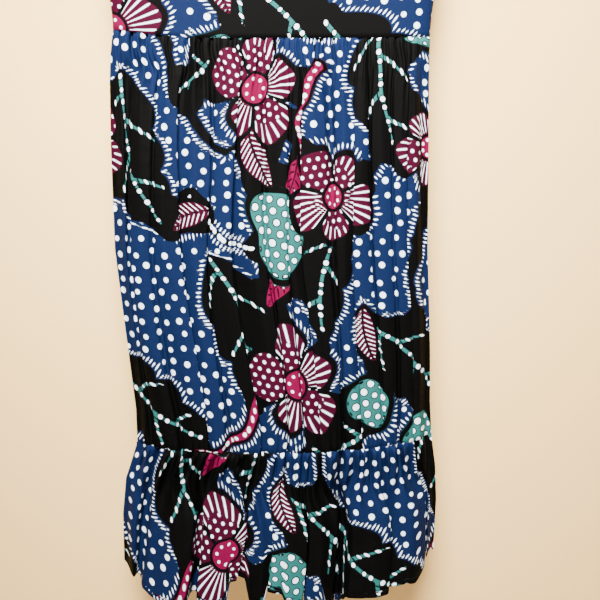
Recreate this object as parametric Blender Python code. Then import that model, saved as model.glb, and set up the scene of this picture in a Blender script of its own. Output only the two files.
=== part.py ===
"""Gathered midi dress on a hanger: the cloth panels at their real size, and the hanger that holds them.

Metres, +Z up. The origin is the point inside the hook's top that rests on a rod. The front faces -Y.
"""

import math

import bpy
import numpy as np

# Cloth wall and the gap kept between pieces
CLOTH = 0.0012
GAP = 0.0003
HALF_GAP = GAP / 2

# Hanger: bar, rounded apex, sloping arms
BAR_APEX_Z = -0.070
BAR_SLOPE = 0.36
BAR_APEX_ROUND = 0.030
BAR_HALF_SPAN = 0.210
BAR_HALF_THICK = 0.006
BAR_HEIGHT_CENTRE = 0.026
BAR_HEIGHT_TIP = 0.015
BAR_STATIONS = 16
BAR_SECTION_POINTS = 10

# Hook: wire, the circle that takes the rod, and the stem down to the bar
WIRE_RADIUS = 0.0019
HOOK_INNER_RADIUS = 0.018
HOOK_START_DEG = 195.0
HOOK_END_DEG = -50.0
STEM_BEND_Z = -0.052
STEM_DEPTH_IN_BAR = 0.014

# Bodice, measured on the hanger
WAIST_Z = -0.490
WAIST_HALF = 0.2095
NECK_HALF = 0.085
SHOULDER_HALF = 0.175
UNDERARM_HALF = 0.228
ARMHOLE_DEPTH = 0.205
ARMHOLE_WAIST_HALF = 0.170
FRONT_NECK_DROP = 0.120
BACK_NECK_DROP = 0.050
NECK_ROW_SHARE = 0.95
SHOULDER_GAP = 0.0004
BODICE_DEPTH_FRONT = 0.013
BODICE_DEPTH_BACK = 0.012

# Skirt: lengths below the waist seam
TIER_LENGTH = 0.5570
FLOUNCE_LENGTH = 0.2080
SEAM_STRIP = 0.004

# Half widths of the hanging skirt, by the drop below the waist seam
OUTLINE = {
    "drop": (0.000, 0.030, 0.064, 0.143, 0.278, 0.349, 0.429, 0.507, 0.557, 0.617, 0.681, 0.765),
    "left": (0.2095, 0.2140, 0.2167, 0.2186, 0.2187, 0.2123, 0.2049, 0.1978, 0.1975, 0.2160, 0.2225, 0.2235),
    "right": (0.2095, 0.2095, 0.2099, 0.2117, 0.2142, 0.2181, 0.2218, 0.2236, 0.2270, 0.2340, 0.2370, 0.2350),
}

# How far the crests of the folds stand from the side seams' plane, by the same drop
ENVELOPE = {
    "drop": (0.000, 0.050, 0.200, 0.400, 0.557, 0.630, 0.700, 0.765),
    "front": (0.013, 0.022, 0.028, 0.033, 0.038, 0.050, 0.061, 0.070),
    "back": (0.012, 0.019, 0.023, 0.026, 0.030, 0.036, 0.042, 0.048),
}

# Folds from left to right: the share of cloth in each, and how strongly it is folded
TIER_FRONT_FOLDS = {
    "share": (33, 27, 30, 25, 36, 27, 15, 20, 28, 20, 20, 18, 16, 14),
    "strength": (0.80, 1.10, 0.60, 0.75, 1.50, 0.90, 0.90, 1.50, 0.80, 0.95, 1.20, 0.85, 1.05, 0.75),
}
TIER_BACK_FOLDS = {
    "share": (34, 46, 36, 50, 38, 54, 42, 48, 36, 34),
    "strength": (0.75, 1.20, 0.80, 1.30, 0.85, 1.35, 0.80, 1.15, 0.90, 0.80),
}
FLOUNCE_FRONT_FOLDS = {
    "share": (42, 50, 38, 24, 33, 48, 41, 37),
    "strength": (0.75, 0.60, 1.45, 1.20, 1.05, 0.65, 1.40, 1.10),
}
FLOUNCE_BACK_FOLDS = {
    "share": (46, 56, 36, 50, 40, 58, 44, 48),
    "strength": (0.80, 1.10, 0.80, 1.30, 0.90, 1.20, 0.85, 1.00),
}

# Where a fold's cloth bends, as shares of it: a flat facet, a narrow tuck in the middle, and a flat facet
TIER_BENDS = (0.0, 0.15, 0.30, 0.39, 0.46, 0.54, 0.61, 0.70, 0.85, 1.0)
FLOUNCE_BENDS = (0.0, 0.09, 0.18, 0.27, 0.35, 0.42, 0.47, 0.53, 0.58, 0.65, 0.73, 0.82, 0.91, 1.0)
TIER_TUCK = 0.21
FLOUNCE_TUCK = 0.25
FACET_ROUNDING = 0.22

# Cloth cut for one panel, across, before it is gathered
TIER_CUT = 0.600
FLOUNCE_CUT = 0.760
TIER_GATHERS_PER_FOLD = 2
FLOUNCE_GATHERS_PER_FOLD = 3
TIER_ROWS = (0.000, 0.004, 0.018, 0.058, 0.290, 0.5527, 0.5567)
FLOUNCE_ROWS = (0.0003, 0.0043, 0.022, 0.070, 0.208)
GATHER_FADE = 0.045
FOLD_GROWTH = 0.070
FLOUNCE_FOLD_GROWTH = 0.100
LEAST_OFFSET = 0.0055
STEEPEST = math.radians(76)
EDGE_EASE = 0.020
SEAM_REACH = 0.050
SEAM_RIPPLE = 0.22
SEAM_PUFF = 0.0010

# How the seams sit on the hanging dress: lifts at the side seams and a sag between them
WAIST_LIFT = {"left": 0.0150, "right": 0.0040}
WAIST_LIFT_REACH = 0.110
TIER_LIFT = {"left": 0.0020, "right": 0.0120}
HEM_LIFT = {"left": 0.0150, "right": 0.0240}
MID_SAG = 0.0030

COLOURS = {
    "print_blue": (0.020, 0.090, 0.320, 1.0),
    "beech": (0.520, 0.340, 0.190, 1.0),
    "steel": (0.600, 0.600, 0.610, 1.0),
}


def clear_scene():
    """Removes the objects of the scene that the script starts in."""
    for found in list(bpy.data.objects):
        bpy.data.objects.remove(found)


def material(name, colour, roughness, metallic):
    """A Principled material."""
    made = bpy.data.materials.new(name)
    made.use_nodes = True
    shader = made.node_tree.nodes["Principled BSDF"]
    shader.inputs["Base Color"].default_value = colour
    shader.inputs["Roughness"].default_value = roughness
    shader.inputs["Metallic"].default_value = metallic
    return made


def smoothstep(low, high, value):
    """0 below low, 1 above high, and a smooth rise between."""
    part = np.clip((value - low) / (high - low), 0.0, 1.0)
    return part * part * (3.0 - 2.0 * part)


def add_object(name, mesh, finish):
    """Puts a mesh into the scene as a named object."""
    made = bpy.data.objects.new(name, mesh)
    bpy.context.scene.collection.objects.link(made)
    mesh.materials.append(finish)
    return made


def grid_mesh(name, points, kept=None):
    """A mesh of quads over rows of points, points[row][column] = (x, y, z). kept(row, column) drops faces."""
    rows, columns = points.shape[:2]
    faces = [
        (r * columns + c, (r + 1) * columns + c, (r + 1) * columns + c + 1, r * columns + c + 1)
        for r in range(rows - 1)
        for c in range(columns - 1)
        if kept is None or kept(r, c)
    ]
    used = sorted({corner for face in faces for corner in face})
    place = {corner: number for number, corner in enumerate(used)}
    flat = points.reshape(-1, 3)
    mesh = bpy.data.meshes.new(name)
    mesh.from_pydata(
        [tuple(flat[corner]) for corner in used],
        [],
        [tuple(place[corner] for corner in face) for face in faces],
    )
    return mesh


def hang_shift(x, z):
    """How far up a point of the cloth sits from where straight seams would put it."""
    drop = WAIST_Z - z
    at_waist = np.exp(-((drop / WAIST_LIFT_REACH) ** 2))
    at_tier = smoothstep(0.30, TIER_LENGTH, drop)
    at_hem = np.clip((drop - TIER_LENGTH) / FLOUNCE_LENGTH, 0.0, 1.0)
    lift = 0.0
    for name, out in (("left", -x), ("right", x)):
        near = np.clip((out - 0.070) / 0.150, 0.0, 1.1) ** 2
        side = np.clip(out / 0.215, 0.0, 1.05) ** 2
        lift = lift + WAIST_LIFT[name] * near * at_waist
        lift = lift + TIER_LIFT[name] * side * at_tier + HEM_LIFT[name] * side**6 * at_hem
    return lift - MID_SAG * np.clip(1.0 - (x / 0.21) ** 2, 0.0, 1.0) * at_tier


def thicken_and_hang(panel, outward):
    """Gives a panel its wall, outward from its inner face, then lets its seams sit as they hang."""
    wall = panel.modifiers.new("wall", "SOLIDIFY")
    wall.thickness = CLOTH
    wall.offset = outward
    wall.use_even_offset = True
    graph = bpy.context.evaluated_depsgraph_get()
    solid = bpy.data.meshes.new_from_object(panel.evaluated_get(graph))
    panel.modifiers.remove(wall)
    panel.data = solid
    for vertex in solid.vertices:
        vertex.co.z += float(hang_shift(vertex.co.x, vertex.co.z))


def bar_top(x):
    """Height of the hanger bar's top edge."""
    return BAR_APEX_Z - BAR_SLOPE * (np.sqrt(x * x + BAR_APEX_ROUND**2) - BAR_APEX_ROUND)


def half_width_at(z):
    """Half width of the bodice: straight side, then the armhole, then the shoulder tip."""
    tip_z = bar_top(SHOULDER_HALF)
    underarm_z = tip_z - ARMHOLE_DEPTH
    side = WAIST_HALF + (UNDERARM_HALF - WAIST_HALF) * smoothstep(WAIST_Z, underarm_z, z)
    up = np.clip((z - underarm_z) / ARMHOLE_DEPTH, 0.0, 1.0)
    armhole = (
        ARMHOLE_WAIST_HALF
        + (UNDERARM_HALF - ARMHOLE_WAIST_HALF) * (1.0 - up) ** 3
        + (SHOULDER_HALF - ARMHOLE_WAIST_HALF) * up**2
    )
    return np.where(z <= underarm_z, side, armhole)


def bodice_columns():
    """Columns across a bodice panel as shares of its half width, closer at the sides of the neck."""
    neck_share = NECK_HALF / SHOULDER_HALF
    neck = [neck_share * math.sin(math.radians(a)) for a in range(-90, 91, 15)]
    shoulder = [neck_share + (1.0 - neck_share) * k / 6 for k in range(1, 7)]
    return np.array([-s for s in reversed(shoulder)] + neck + shoulder)


def bodice_panel(name, neck_drop, depth, side, finish):
    """Front or back of the bodice, over the hanger's arms. side is -1 at the front and +1 at the back.

    Columns inside the neck stop at the neckline, which leaves the shoulders' edges free to go over the bar.
    """
    across = bodice_columns()
    neck_share = NECK_HALF / SHOULDER_HALF
    in_neck = np.abs(across) < neck_share - 1e-6
    line = bar_top(across * SHOULDER_HALF) + SHOULDER_GAP
    neck_point = float(bar_top(NECK_HALF)) + SHOULDER_GAP
    up = np.array((0.0, 0.010, 0.24, 0.47, 0.55, 0.63, 0.75, 0.88, 0.95, 0.984, 0.994, 1.0))
    neck_row = list(up).index(NECK_ROW_SHARE)
    bottom = WAIST_Z + HALF_GAP
    start = (1.0 - NECK_ROW_SHARE) * (neck_point - bottom)
    inside = np.clip(np.abs(across) / neck_share, 0.0, 1.0)
    neckline = neck_point - start - (neck_drop - start) * np.sqrt(1.0 - inside**2)
    top = np.where(in_neck, neckline, line)
    part = np.where(in_neck[None, :], np.minimum(up / NECK_ROW_SHARE, 1.0)[:, None], up[:, None])
    z = bottom + part * (top - bottom)[None, :]
    x = across[None, :] * half_width_at(z)
    round_over = BAR_HALF_THICK + SHOULDER_GAP
    below = np.clip(bar_top(x) + SHOULDER_GAP - z, 0.0, None)
    over_bar = np.sqrt(1.0 - (1.0 - np.clip(below / round_over, 0.0, 1.0)) ** 2)
    fullness = round_over + (depth - round_over) * smoothstep(round_over, 0.150, below)
    underarm_z = bar_top(SHOULDER_HALF) - ARMHOLE_DEPTH
    sewn = 1.0 - smoothstep(underarm_z, underarm_z + 0.050, z)
    rounded = np.sqrt(np.clip(1.0 - np.abs(across[None, :]) ** 6, 0.0, 1.0))
    lateral = 1.0 - (1.0 - rounded) * sewn
    y = side * (HALF_GAP + over_bar * fullness * lateral)
    y[0] = y[1]
    x[0] = x[1]
    mesh = grid_mesh(name, np.stack([x, y, z], axis=-1), lambda r, c: r < neck_row or not (
        in_neck[c] or in_neck[c + 1]
    ))
    panel = add_object(name, mesh, finish)
    thicken_and_hang(panel, 1.0 if side > 0 else -1.0)
    return panel


def meander(folds, cut, width, gathers_per_fold, fold_part, gather_part):
    """A section of gathered cloth, cut long, folded so that it spans width.

    Each fold is a nearly flat facet with a narrow tuck in its middle, where the cloth goes back and returns,
    with gathers_per_fold smaller waves on it. Returns x from 0 to width and the depth behind the crests, at
    every bend along the cloth.
    """
    shares = np.array(folds["share"], float)
    shares /= shares.sum()
    bends, tuck = (TIER_BENDS, TIER_TUCK) if cut == TIER_CUT else (FLOUNCE_BENDS, FLOUNCE_TUCK)
    steps = np.diff(bends)
    middle = (np.array(bends[1:]) + np.array(bends[:-1])) / 2
    off = (middle - 0.5) / tuck
    lobe = -np.sign(off) * np.sin(math.pi * np.clip(np.abs(off), 0.0, 1.0)) ** 0.6
    rounding = FACET_ROUNDING * np.sin(2 * math.pi * middle)
    small = np.sin(2 * math.pi * gathers_per_fold * middle)
    turn = np.concatenate(
        [fold_part * (strength * lobe + rounding) + gather_part * small for strength in folds["strength"]]
    )
    length = np.concatenate([share * cut * steps for share in shares])
    low, high = 0.0, 8.0
    for _ in range(40):
        gain = (low + high) / 2
        angle = STEEPEST * np.tanh(gain * turn / STEEPEST)
        if (np.cos(angle) * length).sum() > width:
            low = gain
        else:
            high = gain
    x = np.concatenate([[0.0], np.cumsum(np.cos(angle) * length)])
    depth = np.concatenate([[0.0], np.cumsum(np.sin(angle) * length)])
    return x * width / x[-1], depth


def ripple(folds, cut, width, gathers_per_fold):
    """The low ripple of the gathers where the cloth is sewn to a seam, out from the seam's line."""
    _, depth = meander(folds, cut, width, gathers_per_fold, 0.0, 1.0)
    return SEAM_RIPPLE * (depth.mean() - depth)


def section(folds, cut, drop, face, gathers_per_fold, fold_part, gather_part, loose=1.0):
    """One row of a skirt panel: x, and the distance in front of or behind the side seams' plane.

    loose is 0 where the cloth is sewn flat to the seam above and 1 where it hangs free.
    """
    left = np.interp(drop, OUTLINE["drop"], OUTLINE["left"])
    right = np.interp(drop, OUTLINE["drop"], OUTLINE["right"])
    x, depth = meander(folds, cut, left + right, gathers_per_fold, fold_part, gather_part)
    x = x - left
    across = np.where(x < 0, -x / left, x / right)
    roundness = 6.0 - 3.0 * smoothstep(0.0, TIER_LENGTH, drop)
    lateral = np.sqrt(np.clip(1.0 - np.clip(across, 0.0, 1.0) ** roundness, 0.0, 1.0))
    crest = np.interp(drop, ENVELOPE["drop"], ENVELOPE[face]) * lateral
    ease = smoothstep(0.0, EDGE_EASE, np.minimum(x + left, right - x))
    free = crest - depth
    hanging = 0.5 * (free + np.sqrt(free * free + (2 * LEAST_OFFSET) ** 2)) * ease
    sewn = crest + ripple(folds, cut, left + right, gathers_per_fold) * ease
    return x, HALF_GAP + loose * hanging + (1.0 - loose) * np.maximum(sewn, 0.0)


def tier_rows(folds, face):
    """The rows of a tier panel as (x, distance from the middle plane, z)."""
    rows = []
    for drop in TIER_ROWS:
        plan_drop = min(max(drop, SEAM_STRIP), TIER_ROWS[-2]) if drop > 0 else SEAM_STRIP
        fall = plan_drop - SEAM_STRIP
        gather_part = math.exp(-fall / GATHER_FADE)
        fold_part = 0.10 + 0.90 * float(smoothstep(0.0, FOLD_GROWTH, fall))
        loose = float(smoothstep(0.0, SEAM_REACH, fall))
        x, away = section(
            folds, TIER_CUT, plan_drop, face, TIER_GATHERS_PER_FOLD, fold_part, gather_part, loose
        )
        rows.append((x, away, WAIST_Z - HALF_GAP - drop))
    return rows


def flounce_rows(folds, face, tier_edge):
    """The rows of a flounce panel. Its top follows the tier's lower edge, with its own gathers on it."""
    rows = []
    for fall in FLOUNCE_ROWS:
        plan_fall = max(fall, FLOUNCE_ROWS[1])
        gather_part = math.exp(-(plan_fall - FLOUNCE_ROWS[1]) / GATHER_FADE)
        own = float(smoothstep(0.0, FLOUNCE_FOLD_GROWTH, plan_fall - FLOUNCE_ROWS[1]))
        drop = TIER_LENGTH + plan_fall
        x, away = section(
            folds, FLOUNCE_CUT, drop, face, FLOUNCE_GATHERS_PER_FOLD, 0.15 + 0.85 * own, gather_part
        )
        seam_x, seam_away, _ = tier_edge
        on_seam = np.interp(x * seam_x[-1] / x[-1], seam_x, seam_away)
        ease = smoothstep(0.0, EDGE_EASE, (x[-1] - x[0]) / 2 - np.abs(x - x.mean()))
        waves = ripple(folds, FLOUNCE_CUT, x[-1] - x[0], FLOUNCE_GATHERS_PER_FOLD)
        sewn = np.maximum(on_seam + (waves + SEAM_PUFF) * ease, HALF_GAP)
        sewn[0] = sewn[-1] = HALF_GAP
        away = (1.0 - own) * sewn + own * away
        rows.append((x, away, WAIST_Z - HALF_GAP - TIER_LENGTH - fall))
    return rows


def skirt_panel(name, rows, side, finish):
    """A skirt or flounce panel from its rows."""
    points = np.array(
        [np.stack([x, side * away, np.full_like(x, z)], axis=-1) for x, away, z in rows]
    )
    panel = add_object(name, grid_mesh(name, points), finish)
    thicken_and_hang(panel, -1.0 if side > 0 else 1.0)
    return panel


def hanger_bar(finish):
    """The hanger's bar: a stadium section swept along both sloping arms, with a hole for the hook's stem."""
    half = BAR_SECTION_POINTS // 2
    xs = np.linspace(-BAR_HALF_SPAN, BAR_HALF_SPAN, BAR_STATIONS + 1)
    angles = np.linspace(0.0, math.pi, half)
    rings = []
    for x in xs:
        out = abs(x) / BAR_HALF_SPAN
        height = BAR_HEIGHT_CENTRE + (BAR_HEIGHT_TIP - BAR_HEIGHT_CENTRE) * out
        radius = BAR_HALF_THICK * (1.0 if out < 0.97 else 0.8)
        top = float(bar_top(x))
        upper = [(x, radius * math.cos(a), top - BAR_HALF_THICK + radius * math.sin(a)) for a in angles]
        low = top - height + BAR_HALF_THICK
        lower = [(x, -radius * math.cos(a), low - radius * math.sin(a)) for a in angles]
        rings.append(upper + lower)
    count = len(rings[0])
    faces = [
        (r * count + c, r * count + (c + 1) % count, (r + 1) * count + (c + 1) % count, (r + 1) * count + c)
        for r in range(len(rings) - 1)
        for c in range(count)
    ]
    faces.append(tuple(reversed(range(count))))
    faces.append(tuple((len(rings) - 1) * count + c for c in range(count)))
    mesh = bpy.data.meshes.new("hanger_bar")
    mesh.from_pydata([p for ring in rings for p in ring], [], faces)
    bar = add_object("hanger_bar", mesh, finish)
    bpy.ops.mesh.primitive_cylinder_add(
        vertices=16,
        radius=WIRE_RADIUS + GAP,
        depth=2 * (STEM_DEPTH_IN_BAR + GAP),
        location=(0.0, 0.0, BAR_APEX_Z),
    )
    cutter = bpy.context.object
    cutter.name = "stem_hole_cutter"
    cutter.hide_render = True
    cutter.display_type = "WIRE"
    hole = bar.modifiers.new("stem_hole", "BOOLEAN")
    hole.operation = "DIFFERENCE"
    hole.solver = "EXACT"
    hole.object = cutter
    return bar


def hermite(start, start_pull, end, end_pull, part):
    """A point on the smooth curve between two points with given directions."""
    p2, p3 = part * part, part**3
    weights = (2 * p3 - 3 * p2 + 1, p3 - 2 * p2 + part, -2 * p3 + 3 * p2, p3 - p2)
    return tuple(
        sum(w * v for w, v in zip(weights, values))
        for values in zip(start, start_pull, end, end_pull)
    )


def hook_path():
    """The wire's centre line in the XZ plane: round the rod, back to the middle, and down into the bar."""
    radius = HOOK_INNER_RADIUS + WIRE_RADIUS
    centre_z = -HOOK_INNER_RADIUS
    turns = [math.radians(a) for a in np.linspace(HOOK_START_DEG, HOOK_END_DEG, 25)]
    path = [(radius * math.cos(a), centre_z + radius * math.sin(a)) for a in turns]
    end = turns[-1]
    pull = 0.030
    direction = (pull * math.sin(end), -pull * math.cos(end))
    bend = [
        hermite(path[-1], direction, (0.0, STEM_BEND_Z), (0.0, -0.8 * pull), k / 7)
        for k in range(1, 8)
    ]
    return path + bend + [(0.0, BAR_APEX_Z - STEM_DEPTH_IN_BAR)]


def hanger_hook(finish):
    """The bent wire hook."""
    wire = bpy.data.curves.new("hanger_hook", "CURVE")
    wire.dimensions = "3D"
    wire.bevel_depth = WIRE_RADIUS
    wire.bevel_resolution = 1
    wire.use_fill_caps = True
    spline = wire.splines.new("POLY")
    points = hook_path()
    spline.points.add(len(points) - 1)
    for point, (x, z) in zip(spline.points, points):
        point.co = (x, 0.0, z, 1.0)
    made = bpy.data.objects.new("hanger_hook", wire)
    bpy.context.scene.collection.objects.link(made)
    wire.materials.append(finish)
    return made


def main():
    clear_scene()
    cloth = material("printed_cloth", COLOURS["print_blue"], 0.75, 0.0)
    wood = material("hanger_beech", COLOURS["beech"], 0.45, 0.0)
    steel = material("hook_steel", COLOURS["steel"], 0.30, 1.0)
    bodice_panel("bodice_front", FRONT_NECK_DROP, BODICE_DEPTH_FRONT, -1.0, cloth)
    bodice_panel("bodice_back", BACK_NECK_DROP, BODICE_DEPTH_BACK, 1.0, cloth)
    for face, side, tier_folds, flounce_folds in (
        ("front", -1.0, TIER_FRONT_FOLDS, FLOUNCE_FRONT_FOLDS),
        ("back", 1.0, TIER_BACK_FOLDS, FLOUNCE_BACK_FOLDS),
    ):
        tier = tier_rows(tier_folds, face)
        skirt_panel(f"skirt_{face}", tier, side, cloth)
        skirt_panel(f"flounce_{face}", flounce_rows(flounce_folds, face, tier[-1]), side, cloth)
    hanger_bar(wood)
    hanger_hook(steel)


main()
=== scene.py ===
"""Midi dress on a hanger: gathered printed cloth, seams and hem, hanger finishes, wall and light.

The dress hangs from the hook at the origin, with its front towards -Y. All sizes are in metres unless a name
says mm. The cloth is worked out flat, as it is cut, and then folded: every point of a panel keeps its place
on the flat cloth in the panel's UV map, which the print and the weave follow.
"""

from __future__ import annotations

import logging
import math
from dataclasses import dataclass, field
from enum import Enum

import bmesh
import bpy
import numpy as np
from mathutils import Matrix

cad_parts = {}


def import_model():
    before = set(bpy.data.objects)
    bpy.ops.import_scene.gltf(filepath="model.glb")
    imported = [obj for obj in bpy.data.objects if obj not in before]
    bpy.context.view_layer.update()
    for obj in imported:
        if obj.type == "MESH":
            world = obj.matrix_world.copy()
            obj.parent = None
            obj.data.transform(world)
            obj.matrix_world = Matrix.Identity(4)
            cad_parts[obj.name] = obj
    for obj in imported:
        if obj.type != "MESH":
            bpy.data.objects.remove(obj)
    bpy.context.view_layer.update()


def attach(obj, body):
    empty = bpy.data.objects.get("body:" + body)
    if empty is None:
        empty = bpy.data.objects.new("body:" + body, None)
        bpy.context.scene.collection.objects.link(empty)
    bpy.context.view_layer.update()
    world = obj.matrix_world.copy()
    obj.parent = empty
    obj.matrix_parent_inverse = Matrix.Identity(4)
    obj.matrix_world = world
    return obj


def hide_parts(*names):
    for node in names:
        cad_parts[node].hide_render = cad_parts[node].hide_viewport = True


LOG = logging.getLogger("midi_dress")
MM = 1000.0


class Face(Enum):
    """Which side of the dress a panel is on; the value is the sign of its Y."""

    FRONT = -1
    BACK = 1


class Ink(Enum):
    """The inks a stem can be printed in."""

    BLACK = "black"
    BEADED = "beaded"
    CRIMSON = "crimson"


# Small helpers


def linear(code: str) -> tuple[float, float, float, float]:
    """Turns an sRGB hex colour into linear light.

    Args:
        code: six hex digits.

    Returns:
        Red, green, blue and a full alpha.
    """
    parts = [int(code[k : k + 2], 16) / 255 for k in (0, 2, 4)]
    light = [c / 12.92 if c <= 0.04045 else ((c + 0.055) / 1.055) ** 2.4 for c in parts]
    return (light[0], light[1], light[2], 1.0)


def smoothstep(low: float, high: float, value: np.ndarray | float) -> np.ndarray:
    """A smooth rise from 0 at low to 1 at high.

    Args:
        low: where the rise starts.
        high: where it ends.
        value: where it is read.

    Returns:
        The rise, 0 to 1.
    """
    part = np.clip((np.asarray(value) - low) / (high - low), 0.0, 1.0)
    return part * part * (3.0 - 2.0 * part)


def feed(tree: bpy.types.NodeTree, node: bpy.types.Node, inputs: dict[str | int, object]) -> None:
    """Sets a node's constants and links.

    Args:
        tree: the node tree.
        node: the node.
        inputs: socket name or number to a constant, or to the socket or the node that feeds it.
    """
    for name, value in inputs.items():
        source = value.outputs[0] if isinstance(value, bpy.types.Node) else value
        if isinstance(source, bpy.types.NodeSocket):
            tree.links.new(source, node.inputs[name])
        else:
            node.inputs[name].default_value = source


def add_node(
    tree: bpy.types.NodeTree, kind: str, inputs: dict[str | int, object] | None = None, **settings: object
) -> bpy.types.Node:
    """Adds a node with its settings, constants and links.

    Args:
        tree: the node tree.
        kind: the node's type name after "ShaderNode".
        inputs: socket name or number to a constant, or to the socket or the node that feeds it.
        **settings: the node's own settings.

    Returns:
        The node.
    """
    node = tree.nodes.new("ShaderNode" + kind)
    for name, value in settings.items():
        setattr(node, name, value)
    feed(tree, node, inputs or {})
    return node


def add_object(name: str, bm: bmesh.types.BMesh) -> bpy.types.Object:
    """Makes an object of a bmesh, which is freed.

    Args:
        name: the object's name.
        bm: its shape.

    Returns:
        The object, in the scene.
    """
    mesh = bpy.data.meshes.new(name)
    bm.to_mesh(mesh)
    bm.free()
    made = bpy.data.objects.new(name, mesh)
    bpy.context.scene.collection.objects.link(made)
    return made


# The print, in millimetres on the flat cloth


class PrintFields:
    """The print at many points of the flat cloth.

    Most inks are held as distances in mm that are positive inside the ink. Rows of dashes or stripes are
    finer than the cloth's mesh, so they are held as a direction that goes round once a stripe, and the
    stripe's half width as a share of the row's pitch. ATTRIBUTES says which mesh attribute carries which.
    """

    INKS = ("white", "eye", "black", "red", "teal")
    ATTRIBUTES = {
        "print_rows": ("row_cos", "row_sin", "row_half"),
        "print_whites": ("white", "eye", "tone"),
        "print_inks": ("black", "red", "teal"),
    }
    BARE = -20.0
    FAR = 60.0
    GAP = 21.0
    BLEED = 0.5
    DASH_PITCH = 5.5
    DASH_LENGTH = 9.6
    DASH_START = 0.4
    DASH_SLANT = 0.22
    DASH_HALF = 0.30
    DASH_TRIM = 0.10

    def __init__(self, u: np.ndarray, v: np.ndarray) -> None:
        """Starts with bare ground.

        Args:
            u: places across the cloth, in mm.
            v: places down the cloth, in mm.
        """
        self.u = u
        self.v = v
        self.clear = np.full(u.shape, self.FAR)
        self.second = np.full(u.shape, self.FAR)
        self.row_cos = np.ones(u.shape)
        self.row_sin = np.zeros(u.shape)
        self.row_half = np.full(u.shape, -1.0)
        self.white = np.full(u.shape, self.BARE)
        self.eye = np.full(u.shape, self.BARE)
        self.black = np.full(u.shape, self.BARE)
        self.red = np.full(u.shape, self.BARE)
        self.teal = np.full(u.shape, self.BARE)
        self.tone = np.zeros(u.shape)

    def lay(
        self,
        near: np.ndarray,
        cover: np.ndarray,
        dash: np.ndarray,
        rows: np.ndarray | None = None,
        half: np.ndarray | None = None,
        **inks: np.ndarray,
    ) -> None:
        """Prints one motif over what lies there, with a fringe of white dashes round it.

        Args:
            near: numbers of the points that the motif may touch.
            cover: how far inside the motif each of them is.
            dash: the place along the motif's outline.
            rows: the motif's own stripes, counted across them.
            half: their half width as a share of their pitch.
            **inks: the motif's own distances by ink, and its tone.
        """
        outside = -cover
        inside = cover > 0.0
        along, share = self.dashes(dash, outside)
        along = np.where(inside, 0.0 if rows is None else rows, along)
        share = np.where(inside, -1.0 if half is None else half, share)
        own_row = inside | (outside < self.clear[near])
        self.row_cos[near] = np.where(own_row, np.cos(math.tau * along), self.row_cos[near])
        self.row_sin[near] = np.where(own_row, np.sin(math.tau * along), self.row_sin[near])
        old_half = np.minimum(self.row_half[near], outside / self.DASH_PITCH)
        self.row_half[near] = np.where(own_row, share, old_half)
        self.second[near] = np.minimum(self.second[near], np.maximum(self.clear[near], outside))
        self.clear[near] = np.minimum(self.clear[near], outside)
        for name in self.INKS:
            old = np.minimum(getattr(self, name)[near], outside)
            own = np.minimum(inks[name], cover) if name in inks else np.full(cover.shape, self.BARE)
            getattr(self, name)[near] = np.maximum(old, own)
        tone = inks["tone"] if "tone" in inks else np.zeros(cover.shape)
        self.tone[near] = np.where(cover > -1.0, tone, self.tone[near])

    def close_gaps(self) -> None:
        """Fills the narrow gaps between motifs with black, so that they run together."""
        web = np.minimum((self.GAP - self.clear - self.second) / 2, self.clear + self.BLEED)
        self.black = np.maximum(self.black, web)
        kept = np.minimum(self.row_half, -web / self.DASH_PITCH)
        self.row_half = np.where(self.clear > 0.0, kept, self.row_half)

    def dashes(self, dash: np.ndarray, away: np.ndarray) -> tuple[np.ndarray, np.ndarray]:
        """The fringe: drop-shaped dashes of uneven length that point away from a motif's edge.

        Args:
            dash: the place along the motif's outline, in mm.
            away: the distance from the motif, in mm.

        Returns:
            The place along the row in pitches, and the dash's half width there as a share of the pitch.
        """
        along = (dash + self.DASH_SLANT * away) / self.DASH_PITCH
        reach = self.DASH_LENGTH * (1.0 + 0.18 * np.sin(2.4 * np.round(along)))
        part = np.clip((away - self.DASH_START) / reach, 0.0, 1.0)
        return along, self.DASH_HALF * np.sin(math.pi * part**1.15) ** 0.75 - self.DASH_TRIM


def beads(along: np.ndarray, across: np.ndarray, pitch: float, radius: float) -> np.ndarray:
    """A row of unevenly spaced beads.

    Args:
        along: places along the row, in mm.
        across: places across it, in mm.
        pitch: the beads' mean spacing.
        radius: their mean radius.

    Returns:
        How far inside a bead each point is.
    """
    number = np.floor(along / pitch)
    off = along - (number + 0.5 + 0.14 * np.sin(2.9 * number)) * pitch
    return radius * (1.0 + 0.12 * np.sin(4.7 * number)) - np.hypot(off, across)


def outline(cover: np.ndarray, thick: float) -> np.ndarray:
    """A line printed just inside a motif's edge.

    Args:
        cover: how far inside the motif each point is, in mm.
        thick: the line's thickness, in mm.

    Returns:
        How far inside the line each point is.
    """
    return np.minimum(cover + PrintFields.BLEED, thick - cover)


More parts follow.
